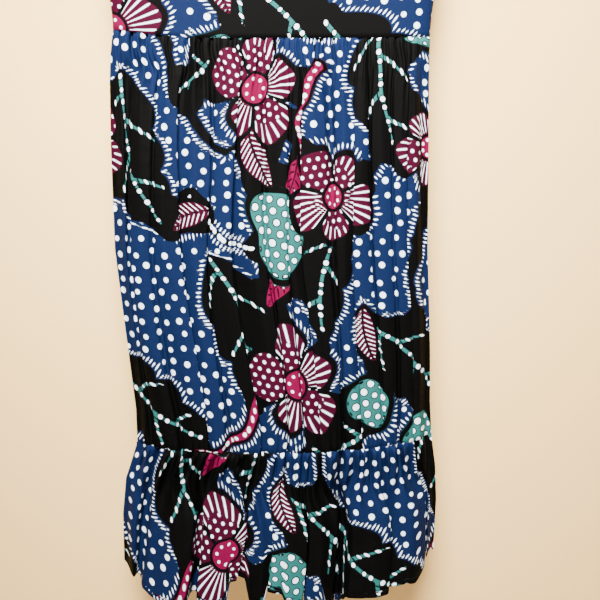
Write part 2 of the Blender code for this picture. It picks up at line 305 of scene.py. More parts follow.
@dataclass(frozen=True)
class Motif:
    """A motif's place on the cloth's repeat, in mm, and the direction it points in, in degrees."""

    u: float
    v: float
    turn: float
    length: float
    width: float = 0.0
    bend: float = 0.0

    REPEAT_U = 640.0
    REPEAT_V = 600.0
    FRINGE_REACH = 26.0

    def reach(self) -> float:
        """How far from its middle the motif and its fringe go."""
        return self.length / 2 + self.width / 2 + abs(self.bend) + self.FRINGE_REACH

    def local(self, fields: PrintFields) -> tuple[np.ndarray, np.ndarray, np.ndarray]:
        """Finds the points near the motif, in its own coordinates.

        Args:
            fields: the points.

        Returns:
            Their numbers, and their places along and across the motif.
        """
        du = (fields.u - self.u + self.REPEAT_U / 2) % self.REPEAT_U - self.REPEAT_U / 2
        dv = (fields.v - self.v + self.REPEAT_V / 2) % self.REPEAT_V - self.REPEAT_V / 2
        reach = self.reach()
        near = np.nonzero(du * du + dv * dv < reach * reach)[0]
        c, s = math.cos(math.radians(self.turn)), math.sin(math.radians(self.turn))
        along = c * du[near] + s * dv[near]
        across = -s * du[near] + c * dv[near]
        return near, along, across

    def spine(self, along: np.ndarray) -> tuple[np.ndarray, ...]:
        """The motif's bent middle line.

        Args:
            along: places along the motif, from its middle.

        Returns:
            The places from its base, the same kept between base and tip, how far past these each point is,
            the kept places as shares of the length, and how far the line bends off there.
        """
        x = along + self.length / 2
        inside = np.clip(x, 0.0, self.length)
        part = inside / self.length
        return x, inside, x - inside, part, self.bend * (4.0 * part * (1.0 - part) - 0.5)

    def round_tip(self, rib: np.ndarray, past: np.ndarray, radius: float) -> np.ndarray:
        """How far the outline's length runs on round a tip, so that the fringe fans out there.

        Args:
            rib: the distance from the middle line.
            past: how far past the tip each point is.
            radius: the radius that the fan's length is measured at.

        Returns:
            The length to add.
        """
        return (math.pi / 2 - np.arctan2(rib, np.abs(past))) * np.sign(past) * radius

    def blade(
        self, along: np.ndarray, across: np.ndarray, notch: float, lobe: float
    ) -> tuple[np.ndarray, ...]:
        """The distances to a pointed, bent blade with a lobed edge.

        Args:
            along: places along the motif, from its middle.
            across: places across it.
            notch: how deep the notches between lobes are, as a share of the blade's width.
            lobe: the lobes' length along the blade.

        Returns:
            How far inside each point is, its place from base to tip, its distance from the midrib, its side
            of the midrib, the blade's half width there, and its place along the outline.
        """
        x, inside, past, part, curve = self.spine(along)
        off = across - curve
        rib = np.abs(off)
        half = 0.5 * self.width * np.sin(math.pi * part**0.85) ** 0.8
        half = half * (1.0 - notch + notch * np.abs(np.sin(math.pi * (x - 0.6 * rib) / lobe)) ** 0.7)
        cover = np.where(past != 0.0, -np.hypot(np.maximum(rib - half, 0.0), past), (half - rib) * 0.88)
        return cover, x, rib, np.sign(off), half, np.sign(off) * (inside + self.round_tip(rib, past, 9.0))


class Leaf(Motif):
    """A broad black leaf with teal veins strung with white beads."""

    NOTCH = 0.24
    LOBE = 60.0
    MIDRIB_HALF = 3.4
    MIDRIB_TAPER = 1.8
    MIDRIB_ENDS = (0.02, 0.93)
    VEIN_HALF = 2.7
    VEIN_TAPER = 3.6
    VEIN_PITCH = 82.0
    VEIN_STAGGER = 17.0
    VEIN_CURVE = 0.008
    VEIN_ENDS = (0.12, 0.84)
    VEIN_TO_EDGE = 9.0

    def print_on(self, fields: PrintFields) -> None:
        """Prints the leaf.

        Args:
            fields: the print to add to.
        """
        near, along, across = self.local(fields)
        cover, x, rib, side, half, dash = self.blade(along, across, self.NOTCH, self.LOBE)
        base, tip = (end * self.length for end in self.MIDRIB_ENDS)
        first, last = (end * self.length for end in self.VEIN_ENDS)
        ends = np.minimum(x - base, tip - x)
        middle = np.minimum(self.MIDRIB_HALF - self.MIDRIB_TAPER * x / self.length - rib, ends)
        start = x - 0.50 * rib - self.VEIN_CURVE * rib * rib + self.VEIN_STAGGER * side
        slant = np.abs(start % self.VEIN_PITCH - self.VEIN_PITCH / 2) * 0.72
        room = np.minimum(half - self.VEIN_TO_EDGE - rib, np.minimum(x - first, last - x))
        branch = np.minimum(self.VEIN_HALF - self.VEIN_TAPER * rib / self.width - slant, room)
        strung = np.minimum(beads(x, rib, 15.0, 3.6), ends)
        outer = beads(1.2 * rib + 2.0, slant, 13.0, 3.5 - 1.8 * rib / self.width)
        outer = np.minimum(outer, np.minimum(room, rib - 6.5))
        vein = np.maximum(middle, branch)
        eye = np.maximum(strung, outer)
        fields.lay(near, cover, dash, black=np.minimum(cover, -vein), teal=vein, eye=eye)


@dataclass(frozen=True)
class Pod(Motif):
    """A pointed petal with a black outline and tapered stripes: maroon with white, or crimson with black."""

    crimson: bool = False

    LINE = 5.6
    RIB_HALF = 1.0
    PITCH = 6.8
    CRIMSON_PITCH = 10.0
    STRIPE_HALF = 0.15

    def print_on(self, fields: PrintFields) -> None:
        """Prints the petal.

        Args:
            fields: the print to add to.
        """
        near, along, across = self.local(fields)
        cover, x, rib, _, half, dash = self.blade(along, across, 0.0, 50.0)
        line = np.maximum(outline(cover, self.LINE), self.RIB_HALF - rib)
        pitch = self.CRIMSON_PITCH if self.crimson else self.PITCH
        thick = self.STRIPE_HALF * (1.0 - 0.55 * rib / np.maximum(half, 1.0))
        thick = np.minimum(thick, np.minimum(cover - self.LINE - 0.6, rib - self.RIB_HALF - 0.6) / pitch)
        tone = np.full(x.shape, 1.0 if self.crimson else 0.0)
        fields.lay(near, cover, dash, (x - 0.7 * rib) / pitch, thick, black=line, red=cover, tone=tone)


class Flower(Motif):
    """A maroon flower with a crimson eye, and striped or dotted petals. Its length is its diameter."""

    PETALS = 5
    PETAL_MARGIN = 2.5
    LINE = 7.5
    RAYS = 7
    RAY_HALF = 0.14
    HEART = 0.24
    HEART_LINE = 1.8
    DOT_RADIUS = 2.7
    DOT_PITCH = 12.4
    DOT_ROW = 10.6
    SEEDS = 7

    def reach(self) -> float:
        """How far from its middle the flower and its fringe go."""
        return self.length / 2 + self.PETAL_MARGIN + self.FRINGE_REACH

    def print_on(self, fields: PrintFields) -> None:
        """Prints the flower: its petals are in turn dotted and then striped, all striped, or all dotted.

        Args:
            fields: the print to add to.
        """
        near, along, across = self.local(fields)
        radius = self.length / 2
        r, angle = np.hypot(along, across), np.arctan2(across, along)
        turn = angle * self.PETALS / math.tau + self.PETALS
        number = np.floor(turn) % self.PETALS
        part = turn % 1.0
        edge = radius * (0.60 + 0.40 * np.sin(math.pi * part) ** 0.55)
        edge = edge * (1.0 - 0.12 * np.cos(number * 2.1 + self.u)) * (1.0 + 0.03 * np.sin(9.0 * angle))
        cover = (edge - r) * 0.88
        arc = r * math.tau / self.PETALS
        heart = self.HEART * radius
        line = np.maximum(outline(cover, self.LINE), 1.4 + 0.045 * r - np.minimum(part, 1.0 - part) * arc)
        line = np.maximum(np.minimum(line, r - heart), self.HEART_LINE - np.abs(r - heart))
        reach = np.clip((r - heart) / np.maximum(edge - heart, 1.0), 0.0, 1.0)
        row = np.round(across / self.DOT_ROW)
        shifted = along - self.DOT_PITCH / 2 * (row % 2)
        from_dot = shifted - self.DOT_PITCH * np.round(shifted / self.DOT_PITCH)
        dots = self.DOT_RADIUS - np.hypot(from_dot, across - self.DOT_ROW * row)
        kind = number % 3
        outer = np.where(kind == 0, 0.5 + 0.08 * np.sin(5.0 * angle), np.where(kind == 1, 0.04, 2.0))
        inside = np.minimum(cover - self.LINE - 0.9, r - heart - 3.0)
        petal = np.minimum(dots, np.minimum(inside, (outer - reach) * radius * 0.6))
        thick = self.RAY_HALF * np.sin(math.pi * reach**0.9) ** 0.3
        thick = np.minimum(thick, np.minimum(inside, (reach - outer) * radius * 0.6) / 8.0)
        seed = (angle * self.SEEDS / math.tau) % 1.0 - 0.5
        seeds = np.minimum(0.13 * radius, 3.0) - np.hypot(r - 0.62 * heart, seed * 0.56 * heart)
        fields.lay(
            near,
            cover,
            angle * radius * 0.85,
            part * self.RAYS - 0.5,
            thick,
            black=line,
            red=cover,
            white=np.maximum(petal, np.where(r < heart, seeds - 0.6, fields.BARE)),
            tone=(r < heart).astype(float),
        )


class Patch(Motif):
    """A teal patch with a black outline, full of white spots with dark rims."""

    LINE = 6.4
    SQUARENESS = 2.6
    SPOT_RADIUS = 4.7
    SPOT_PITCH = 16.4
    SPOT_ROW = 14.4

    def print_on(self, fields: PrintFields) -> None:
        """Prints the patch.

        Args:
            fields: the print to add to.
        """
        near, along, across = self.local(fields)
        angle = np.arctan2(across, along)
        wobble = 1.0 + 0.10 * np.sin(3 * angle + self.u) + 0.05 * np.sin(5 * angle + self.v)
        square = np.abs(2 * along / self.length) ** self.SQUARENESS
        square = square + np.abs(2 * across / self.width) ** self.SQUARENESS
        rho = square ** (1 / self.SQUARENESS)
        cover = (1.0 - rho / wobble) * min(self.length, self.width) / 2
        row = np.round(across / self.SPOT_ROW)
        shifted = along - self.SPOT_PITCH / 2 * (row % 2) + 1.6 * np.sin(2.6 * row)
        column = np.round(shifted / self.SPOT_PITCH)
        size = self.SPOT_RADIUS + 0.6 * np.sin(3.1 * column + 1.9 * row)
        spot = size - np.hypot(shifted - self.SPOT_PITCH * column, across - self.SPOT_ROW * row)
        eye = np.minimum(spot, cover - self.LINE - 1.6)
        dash = angle * (self.length + self.width) / 4
        fields.lay(near, cover, dash, black=outline(cover, self.LINE), teal=cover, eye=eye)


@dataclass(frozen=True)
class Stem(Motif):
    """A curved stem that tapers to its tip, in one of the stem inks. A black one has thorns."""

    ink: Ink = Ink.BLACK

    LINE = 4.4
    TAPER = 0.6
    WAVE = 0.12
    THORN_PITCH = 44.0
    THORN_HALF = 8.0
    THORN_HEIGHT = 0.30

    def print_on(self, fields: PrintFields) -> None:
        """Prints the stem.

        Args:
            fields: the print to add to.
        """
        near, along, across = self.local(fields)
        x, inside, past, part, curve = self.spine(along)
        curve = curve + self.WAVE * abs(self.bend) * np.sin(5.0 * math.pi * part)
        off = (across - curve) / np.sqrt(1.0 + (4.0 * self.bend * (1.0 - 2.0 * part) / self.length) ** 2)
        side, rib = np.sign(off), np.abs(off)
        half = 0.5 * self.width * (1.0 - self.TAPER * part)
        if self.ink is Ink.BLACK:
            along_thorn = np.abs((x + self.THORN_PITCH / 4 * side) % self.THORN_PITCH - self.THORN_PITCH / 2)
            thorn = np.maximum(0.0, 1.0 - along_thorn / self.THORN_HALF)
            half = half + self.THORN_HEIGHT * self.width * thorn * (1.0 - part)
        cover = half - np.where(past != 0.0, np.hypot(rib, past), rib)
        inks = {"black": cover}
        if self.ink is Ink.CRIMSON:
            white = np.minimum(beads(x, off, 11.0, 3.2), cover - self.LINE - 0.4)
            inks = {"black": outline(cover, self.LINE), "red": cover, "white": white}
        elif self.ink is Ink.BEADED:
            inks["white"] = beads(x, off, 8.5, 0.36 * self.width)
        dash = side * (inside + self.round_tip(rib, past, 7.0))
        fields.lay(near, cover, dash, tone=np.ones(x.shape), **inks)


@dataclass(frozen=True)
class ClothPrint:
    """The repeat of the printed cloth: generic leaves, flowers, petals and spotted patches, laid out as
    listed.

    A dot of the ground is left out where a motif leaves it less room than least_dot, and made smaller where
    it leaves a little more. The numbers after a motif's class are the fields of Motif, in mm and degrees.
    """

    dot_pitch: float = 21.2
    dot_row: float = 18.2
    dot_radius: float = 4.25
    least_dot: float = 3.2
    dot_to_motif: float = 10.5
    motifs: tuple[Motif, ...] = (
        Stem(165, 60, 62, 240, 22, 40, Ink.BLACK),
        Stem(480, 200, 118, 270, 24, -44, Ink.BLACK),
        Stem(330, 455, 28, 240, 22, 34, Ink.BLACK),
        Stem(600, 330, 95, 220, 22, 30, Ink.BLACK),
        Stem(245, 260, 24, 150, 10, 26, Ink.BEADED),
        Stem(120, 575, 12, 130, 10, -18, Ink.BEADED),
        Leaf(75, 165, 66, 225, 134, 22),
        Leaf(250, 395, 74, 220, 126, -24),
        Leaf(225, 45, 155, 170, 96, 16),
        Leaf(540, 75, 78, 205, 122, 20),
        Leaf(425, 330, 104, 160, 92, 16),
        Leaf(575, 450, 44, 195, 116, -18),
        Leaf(70, 505, 30, 205, 122, 20),
        Leaf(415, 562, 165, 155, 88, -16),
        Pod(310, 165, 62, 104, 52, 10),
        Pod(362, 205, 112, 92, 44, -8, True),
        Pod(170, 245, 160, 92, 46, 8),
        Pod(335, 340, 140, 88, 42, 8, True),
        Pod(497, 405, 78, 92, 44, 8),
        Stem(392, 120, 98, 150, 24, 28, Ink.CRIMSON),
        Stem(205, 540, 150, 150, 24, -30, Ink.CRIMSON),
        Patch(345, 265, 72, 132, 96),
        Patch(600, 580, 58, 112, 84),
        Patch(490, 500, 20, 96, 74),
        Flower(300, 75, 20, 172),
        Flower(440, 215, 50, 152),
        Flower(350, 470, 10, 178),
        Flower(620, 150, 130, 132),
    )

    def fields(self, u: np.ndarray, v: np.ndarray) -> PrintFields:
        """Works the print out at points of the flat cloth.

        Args:
            u: places across, in mm.
            v: places down, in mm.

        Returns:
            The print there.
        """
        fields = PrintFields(u, v)
        for motif in self.motifs:
            motif.print_on(fields)
        fields.close_gaps()
        self._add_dots(fields)
        return fields

    def _add_dots(self, fields: PrintFields) -> None:
        """Adds the ground's white dots, leaving out those that would run into a motif's fringe.

        Args:
            fields: the print to add to.
        """
        cols = round(Motif.REPEAT_U / self.dot_pitch)
        rows = 2 * round(Motif.REPEAT_V / self.dot_row / 2)
        pitch_u, pitch_v = Motif.REPEAT_U / cols, Motif.REPEAT_V / rows
        col, row = np.meshgrid(np.arange(cols), np.arange(rows))
        # A number of its own for each dot, which the sines turn into its shift and its size.
        spot = col * 12.9898 + row * 78.233
        centre_u = (col + 0.5 * (row % 2) + 0.20 * np.sin(spot)) * pitch_u
        centre_v = (row + 0.5 + 0.18 * np.sin(1.7 * spot + 1.0)) * pitch_v
        radius = self.dot_radius * (0.97 + 0.10 * np.sin(2.3 * spot))
        there = PrintFields(centre_u.ravel() % Motif.REPEAT_U, centre_v.ravel() % Motif.REPEAT_V)
        for motif in self.motifs:
            motif.print_on(there)
        room = there.clear.reshape(centre_u.shape) - self.dot_to_motif
        radius = np.where(room > self.least_dot, np.minimum(radius, room), -30.0)
        base_row = np.floor(fields.v / pitch_v).astype(int)
        for row_step in (-1, 0, 1):
            r = (base_row + row_step) % rows
            shift = (base_row + row_step) * pitch_v
            base_col = np.floor(fields.u / pitch_u - 0.5 * (r % 2)).astype(int)
            for col_step in (-1, 0, 1):
                k = (base_col + col_step) % cols
                du = fields.u - (base_col + col_step - k) * pitch_u - centre_u[r, k]
                dv = fields.v - shift - (centre_v[r, k] - r * pitch_v)
                fields.white = np.maximum(fields.white, radius[r, k] - np.hypot(du, dv))


# The finishes


@dataclass(frozen=True)
class Finish:
    """The finish of one surface. Each finish has its own shading, which says what feeds the shader."""

    def material(self, name: str) -> bpy.types.Material:
        """Gives the finish's material, and builds it the first time.

        Args:
            name: the material's name.

        Returns:
            The material.
        """
        made = bpy.data.materials.get(name)
        if made is None:
            made = bpy.data.materials.new(name)
            made.use_nodes = True
            tree = made.node_tree
            feed(tree, tree.nodes["Principled BSDF"], self.shading(tree))
        return made

    def shading(self, tree: bpy.types.NodeTree) -> dict[str | int, object]:
        """What feeds the shader, by socket, once its nodes are in the tree."""
        raise NotImplementedError


@dataclass(frozen=True)
class PrintedViscose(Finish):
    """Light plain-woven viscose, printed in six inks: matt and soft, with a faint sheen along its folds."""

    ground: str = "0A1735"
    black: str = "020202"
    white: str = "E6F1FC"
    maroon: str = "330319"
    crimson: str = "60032E"
    teal: str = "205957"
    thread_mm: float = 1.1
    slubs_per_metre: float = 240.0
    edge_mm: float = 0.35
    spot_rim_mm: float = 1.2
    spot_inset_mm: float = 0.3

    def shading(self, tree: bpy.types.NodeTree) -> dict[str | int, object]:
        """Lays the inks over the ground in printing order, tints them by the yarn, and adds the weave.

        Args:
            tree: the material's nodes.

        Returns:
            What feeds the shader, by socket.
        """
        parts: dict[str, object] = {}
        for attribute, keys in PrintFields.ATTRIBUTES.items():
            read = add_node(tree, "Attribute", attribute_name=attribute)
            split = add_node(tree, "SeparateXYZ", {0: read.outputs["Vector"]})
            parts.update({key: split.outputs[k] for k, key in enumerate(keys)})
        red, row_ink = (
            add_node(tree, "Mix", {0: parts["tone"], "A": linear(low), "B": linear(high)}, data_type="RGBA")
            for low, high in ((self.maroon, self.crimson), (self.white, self.black))
        )
        turn = add_node(tree, "Math", {0: parts["row_sin"], 1: parts["row_cos"]}, operation="ARCTAN2")
        from_middle = add_node(tree, "Math", {0: turn}, operation="ABSOLUTE")
        off = add_node(tree, "Math", {0: from_middle, 1: 0.5 / math.pi}, operation="MULTIPLY")
        inside = add_node(tree, "Math", {0: parts["row_half"], 1: off}, operation="SUBTRACT")
        parts["rows"] = add_node(tree, "Math", {0: inside, 1: PrintFields.DASH_PITCH}, operation="MULTIPLY")
        colour: object = linear(self.ground)
        for key, level, ink in (
            ("red", 0.0, red.outputs[2]),
            ("teal", 0.0, linear(self.teal)),
            ("rows", 0.0, row_ink.outputs[2]),
            ("black", 0.0, linear(self.black)),
            ("eye", -self.spot_rim_mm, linear(self.black)),
            ("eye", self.spot_inset_mm, linear(self.white)),
            ("white", 0.0, linear(self.white)),
        ):
            soft = {"From Min": level - self.edge_mm, "From Max": level + self.edge_mm}
            mask = add_node(tree, "MapRange", {"Value": parts[key], **soft})
            colour = add_node(tree, "Mix", {0: mask, "A": colour, "B": ink}, data_type="RGBA").outputs[2]
        cloth = add_node(tree, "UVMap", uv_map="cloth")
        slubs = (self.slubs_per_metre, self.slubs_per_metre, 1.0)
        yarn = add_node(tree, "Mapping", {"Vector": cloth, "Scale": slubs})
        slub = add_node(tree, "TexNoise", {"Vector": yarn, "Scale": 1.0, "Detail": 3.0})
        tones = {"From Min": 0.25, "From Max": 0.75, "To Min": 0.90, "To Max": 1.08}
        shade = add_node(tree, "MapRange", {"Value": slub, **tones})
        tinted = add_node(tree, "VectorMath", {0: colour, "Scale": shade}, operation="SCALE")
        # Warp and weft are crossed waves. Real threads are 0.25 mm apart, and these are coarser, to show.
        split = add_node(tree, "SeparateXYZ", {0: cloth})
        waves = []
        for place in split.outputs[:2]:
            turns = {0: place, 1: math.tau * MM / self.thread_mm}
            thread = add_node(tree, "Math", turns, operation="MULTIPLY")
            waves.append(add_node(tree, "Math", {0: thread}, operation="SINE"))
        weave = add_node(tree, "Math", {0: waves[0], 1: waves[1]}, operation="MULTIPLY")
        bump = add_node(tree, "Bump", {"Height": weave, "Strength": 0.18, "Distance": 0.0003})
        return {"Base Color": tinted, "Normal": bump, "Roughness": 0.72, "Specular IOR Level": 0.04}


@dataclass(frozen=True)
class SpunThread(Finish):
    """Spun polyester sewing thread: dark and matt, with a twist that shows as fine ribs."""

    colour: str = "10161F"

    def shading(self, tree: bpy.types.NodeTree) -> dict[str | int, object]:
        """Builds the thread's twist.

        Args:
            tree: the material's nodes.

        Returns:
            What feeds the shader, by socket.
        """
        where = add_node(tree, "TexCoord").outputs["Object"]
        twist = add_node(tree, "TexNoise", {"Vector": where, "Scale": 2500.0, "Detail": 1.0})
        bump = add_node(tree, "Bump", {"Height": twist, "Strength": 0.3, "Distance": 0.0001})
        return {"Base Color": linear(self.colour), "Roughness": 0.65, "Normal": bump}


@dataclass(frozen=True)
class VarnishedBeech(Finish):
    """Steamed beech under satin varnish: pinkish tan, with fine flecks and grain along the bar."""

    light: str = "AE7B49"
    dark: str = "80532E"
    grain_mm: float = 1.6
    grain_stretch: float = 30.0

    def shading(self, tree: bpy.types.NodeTree) -> dict[str | int, object]:
        """Builds the grain and the varnish.

        Args:
            tree: the material's nodes.

        Returns:
            What feeds the shader, by socket.
        """
        where = add_node(tree, "TexCoord").outputs["Object"]
        across = MM / self.grain_mm
        scale = (across / self.grain_stretch, across, across)
        along = add_node(tree, "Mapping", {"Vector": where, "Scale": scale})
        grain = add_node(tree, "TexNoise", {"Vector": along, "Scale": 0.5, "Detail": 5.0})
        ends = {"A": linear(self.dark), "B": linear(self.light)}
        tone = add_node(tree, "Mix", {0: grain, **ends}, data_type="RGBA")
        bump = add_node(tree, "Bump", {"Height": grain, "Strength": 0.12, "Distance": 0.0004})
        varnish = {"Roughness": 0.38, "Coat Weight": 0.25, "Coat Roughness": 0.2}
        return {"Base Color": tone.outputs[2], "Normal": bump, **varnish}


@dataclass(frozen=True)
class PlatedWire(Finish):
    """Nickel-plated steel wire: bright, with faint drawing lines."""

    colour: str = "C9C8C6"

    def shading(self, tree: bpy.types.NodeTree) -> dict[str | int, object]:
        """Builds the plating and its fine scratches.

        Args:
            tree: the material's nodes.

        Returns:
            What feeds the shader, by socket.
        """
        where = add_node(tree, "TexCoord").outputs["Object"]
        scratch = add_node(tree, "TexNoise", {"Vector": where, "Scale": 900.0, "Detail": 2.0})
        rough = add_node(tree, "MapRange", {"Value": scratch, "To Min": 0.16, "To Max": 0.32})
        return {"Base Color": linear(self.colour), "Metallic": 1.0, "Roughness": rough}


@dataclass(frozen=True)
class PaleFloor(Finish):
    """Plain pale vinyl flooring with a faint cloudy tone."""

    light: str = "C4B6A2"
    dark: str = "B5A792"

    def shading(self, tree: bpy.types.NodeTree) -> dict[str | int, object]:
        """Builds the cloudy tone.

        Args:
            tree: the material's nodes.

        Returns:
            What feeds the shader, by socket.
        """
        where = add_node(tree, "TexCoord").outputs["Object"]
        cloud = add_node(tree, "TexNoise", {"Vector": where, "Scale": 6.0, "Detail": 4.0})
        ends = {"A": linear(self.dark), "B": linear(self.light)}
        tone = add_node(tree, "Mix", {0: cloud, **ends}, data_type="RGBA")
        return {"Base Color": tone.outputs[2], "Roughness": 0.55}


@dataclass(frozen=True)
class PaintedWall(Finish):
    """Matt cream emulsion on plaster, with a faint roller texture. It shows only its room side."""

    colour: str = "F5CB80"

    def shading(self, tree: bpy.types.NodeTree) -> dict[str | int, object]:
        """Builds the paint's roller texture.

        Args:
            tree: the material's nodes.

        Returns:
            What feeds the shader, by socket.
        """
        where = add_node(tree, "TexCoord").outputs["Object"]
        roller = add_node(tree, "TexNoise", {"Vector": where, "Scale": 260.0, "Detail": 3.0})
        bump = add_node(tree, "Bump", {"Height": roller, "Strength": 0.08, "Distance": 0.001})
        return {"Base Color": linear(self.colour), "Roughness": 0.85, "Normal": bump}

    def material(self, name: str) -> bpy.types.Material:
        """Builds the paint, and clears the wall's far side, so that it hides and shades nothing.

        Args:
            name: the material's name.

        Returns:
            The material.
        """
        made = super().material(name)
        tree = made.node_tree
        side, ray = add_node(tree, "NewGeometry"), add_node(tree, "LightPath")
        unseen = {0: side.outputs["Backfacing"], 1: ray.outputs["Is Shadow Ray"]}
        share = add_node(tree, "Math", unseen, operation="MAXIMUM")
        clear = add_node(tree, "BsdfTransparent")
        both = add_node(tree, "MixShader", {0: share, 1: tree.nodes["Principled BSDF"], 2: clear})
        feed(tree, tree.nodes["Material Output"], {"Surface": both})
        return made


# The cloth's form


@dataclass(frozen=True)
class Folds:
    """The folds of a panel from left to right: the share of cloth in each, and how strongly it is folded.

    Folds stronger than lapped lie over their neighbour. The sines of a fold's number, here and in SkirtForm,
    only make neighbouring folds differ.
    """

    share: tuple[float, ...]
    strength: tuple[float, ...]
    gathers: int
    tuck: float
    lapped: float = 9.0

    def edges(self, drift: float) -> np.ndarray:
        """Where the folds meet, as shares of the panel's cloth.

        Args:
            drift: a number that changes down the panel, so that the folds wander.

        Returns:
            The folds' borders, from 0 to 1.
        """
        number = np.arange(len(self.share))
        shares = np.array(self.share) * (1.0 + 0.16 * np.sin(2.4 * number + 3.1 * drift))
        return np.concatenate([[0.0], np.cumsum(shares / shares.sum())])


@dataclass(frozen=True)
class SkirtForm:
    """How the skirt hangs: its lengths, its outline, the crests of its folds, and the rise of its seams."""

    waist_z: float = -0.490
    waist_half: float = 0.2095
    tier_length: float = 0.557
    flounce_length: float = 0.208
    tier_cut: float = 0.600
    flounce_cut: float = 0.760
    seam_strip: float = 0.004
    half_gap: float = 0.00015
    side_roundness: tuple[float, float] = (6.0, 3.0)
    steepest: float = math.radians(97)
    steepest_lap: float = math.radians(165)
    rounding: float = 0.16
    least_offset: float = 0.0055
    edge_ease: float = 0.020
    gather_fade: float = 0.045
    fold_growth: float = 0.070
    flounce_growth: float = 0.100
    seam_reach: float = 0.050
    seam_ripple: float = 1.00
    seam_puff: float = 0.0010
    drops: tuple[float, ...] = (
        0.000, 0.030, 0.064, 0.143, 0.278, 0.349, 0.429, 0.507, 0.557, 0.617, 0.681, 0.765,
    )
    left: tuple[float, ...] = (
        0.2095, 0.2140, 0.2167, 0.2186, 0.2187, 0.2123, 0.2049, 0.1978, 0.1975, 0.2160, 0.2225, 0.2235,
    )
    right: tuple[float, ...] = (
        0.2095, 0.2095, 0.2099, 0.2117, 0.2142, 0.2181, 0.2218, 0.2236, 0.2270, 0.2340, 0.2370, 0.2350,
    )
    crest_drops: tuple[float, ...] = (0.0, 0.050, 0.200, 0.400, 0.557, 0.630, 0.700, 0.765)
    crests: dict[Face, tuple[float, ...]] = field(
        default_factory=lambda: {
            Face.FRONT: (0.013, 0.022, 0.028, 0.033, 0.038, 0.050, 0.061, 0.070),
            Face.BACK: (0.012, 0.019, 0.023, 0.026, 0.030, 0.036, 0.042, 0.048),
        }
    )
    waist_lift: tuple[float, float] = (0.0150, 0.0040)
    waist_lift_reach: float = 0.110
    tier_lift: tuple[float, float] = (0.0020, 0.0120)
    hem_lift: tuple[float, float] = (0.0150, 0.0240)
    middle_sag: float = 0.0030
    waist_lift_start: float = 0.070
    waist_lift_run: float = 0.150
    tier_lift_top: float = 0.30
    side_x: float = 0.215
    sag_x: float = 0.21
    ripple_window: int = 61
    most_gain: float = 8.0
    halvings: int = 30

    def hang(self, x: np.ndarray, z: np.ndarray) -> np.ndarray:
        """How far up a point of the cloth sits from where straight seams would put it.

        Args:
            x: the point's place across.
            z: its height with straight seams.

        Returns:
            The rise.
        """
        drop = self.waist_z - z
        at_waist = np.exp(-((drop / self.waist_lift_reach) ** 2))
        at_tier = smoothstep(self.tier_lift_top, self.tier_length, drop)
        at_hem = np.clip((drop - self.tier_length) / self.flounce_length, 0.0, 1.0)
        lift = 0.0
        for number, out in enumerate((-x, x)):
            near = np.clip((out - self.waist_lift_start) / self.waist_lift_run, 0.0, 1.1) ** 2
            side = np.clip(out / self.side_x, 0.0, 1.05) ** 2
            lift = lift + self.waist_lift[number] * near * at_waist
            lift = lift + self.tier_lift[number] * side * at_tier + self.hem_lift[number] * side**6 * at_hem
        return lift - self.middle_sag * np.clip(1.0 - (x / self.sag_x) ** 2, 0.0, 1.0) * at_tier

    def turning(
        self, folds: Folds, columns: int, drop: float, parts: tuple[float, float, float]
    ) -> tuple[np.ndarray, np.ndarray, np.ndarray]:
        """The direction of the cloth along a level section, before it is scaled to the width it must span.

        Each fold is a nearly flat facet with a narrow tuck in its middle, where the cloth goes back and
        returns. The strongest tucks are lapped: one facet's edge lies over the next facet.

        Args:
            folds: the panel's folds.
            columns: how many steps the section has.
            drop: how far down the section is.
            parts: the shares of the folds, of the gathers in each fold, and of the finest gathers.

        Returns:
            The direction at the middle of each step in radians from straight across, the steepest direction
            allowed there, and the folds' borders as shares of the cloth.
        """
        place = (np.arange(columns) + 0.5) / columns
        edges = folds.edges(drop * 4.0)
        number = np.clip(np.searchsorted(edges, place, side="right") - 1, 0, len(folds.share) - 1)
        m = (place - edges[number]) / (edges[number + 1] - edges[number])
        live = 1.0 + 0.30 * np.sin(1.9 * number + 8.0 * drop)
        strength = np.array(folds.strength)[number]
        lapped = strength > folds.lapped
        width = folds.tuck * (1.0 + 0.25 * np.sin(3.3 * number + 5.0 * drop)) * np.where(lapped, 0.8, 1.0)
        off = np.clip((m - 0.5 - 0.07 * np.sin(2.3 * number + 6.0 * drop)) / width, -1.0, 1.0)
        groove = -np.sign(off) * np.sin(math.pi * np.abs(off)) ** 0.6
        lap = np.where(number % 2 == 0, 1.35, -1.35) * np.cos(0.5 * math.pi * off) ** 2
        big = strength * live * np.where(lapped, lap, groove) + self.rounding * np.sin(math.tau * m)
        lean = 0.08 * np.sin(3.7 * number + 3.0 * drop)
        uneven = 1.0 + 0.45 * np.sin(2.7 * number + 1.3 * np.floor(folds.gathers * m))
        gathers = uneven * np.sin(math.tau * folds.gathers * m)
        ripple = 0.05 * np.sin(23.0 * place + 9.0 * drop) + 0.05 * np.sin(61.0 * place - 14.0 * drop)
        fine_count = 2 * folds.gathers + 1
        fine_uneven = 1.0 + 0.7 * np.sin(4.1 * number + 2.2 * np.floor(fine_count * m))
        fine = fine_uneven * np.sin(math.tau * fine_count * m)
        limit = np.where(lapped, 0.5 * self.steepest + 0.5 * self.steepest_lap * parts[0], self.steepest)
        return parts[0] * (big + lean) + parts[1] * gathers + parts[2] * fine + ripple, limit, edges

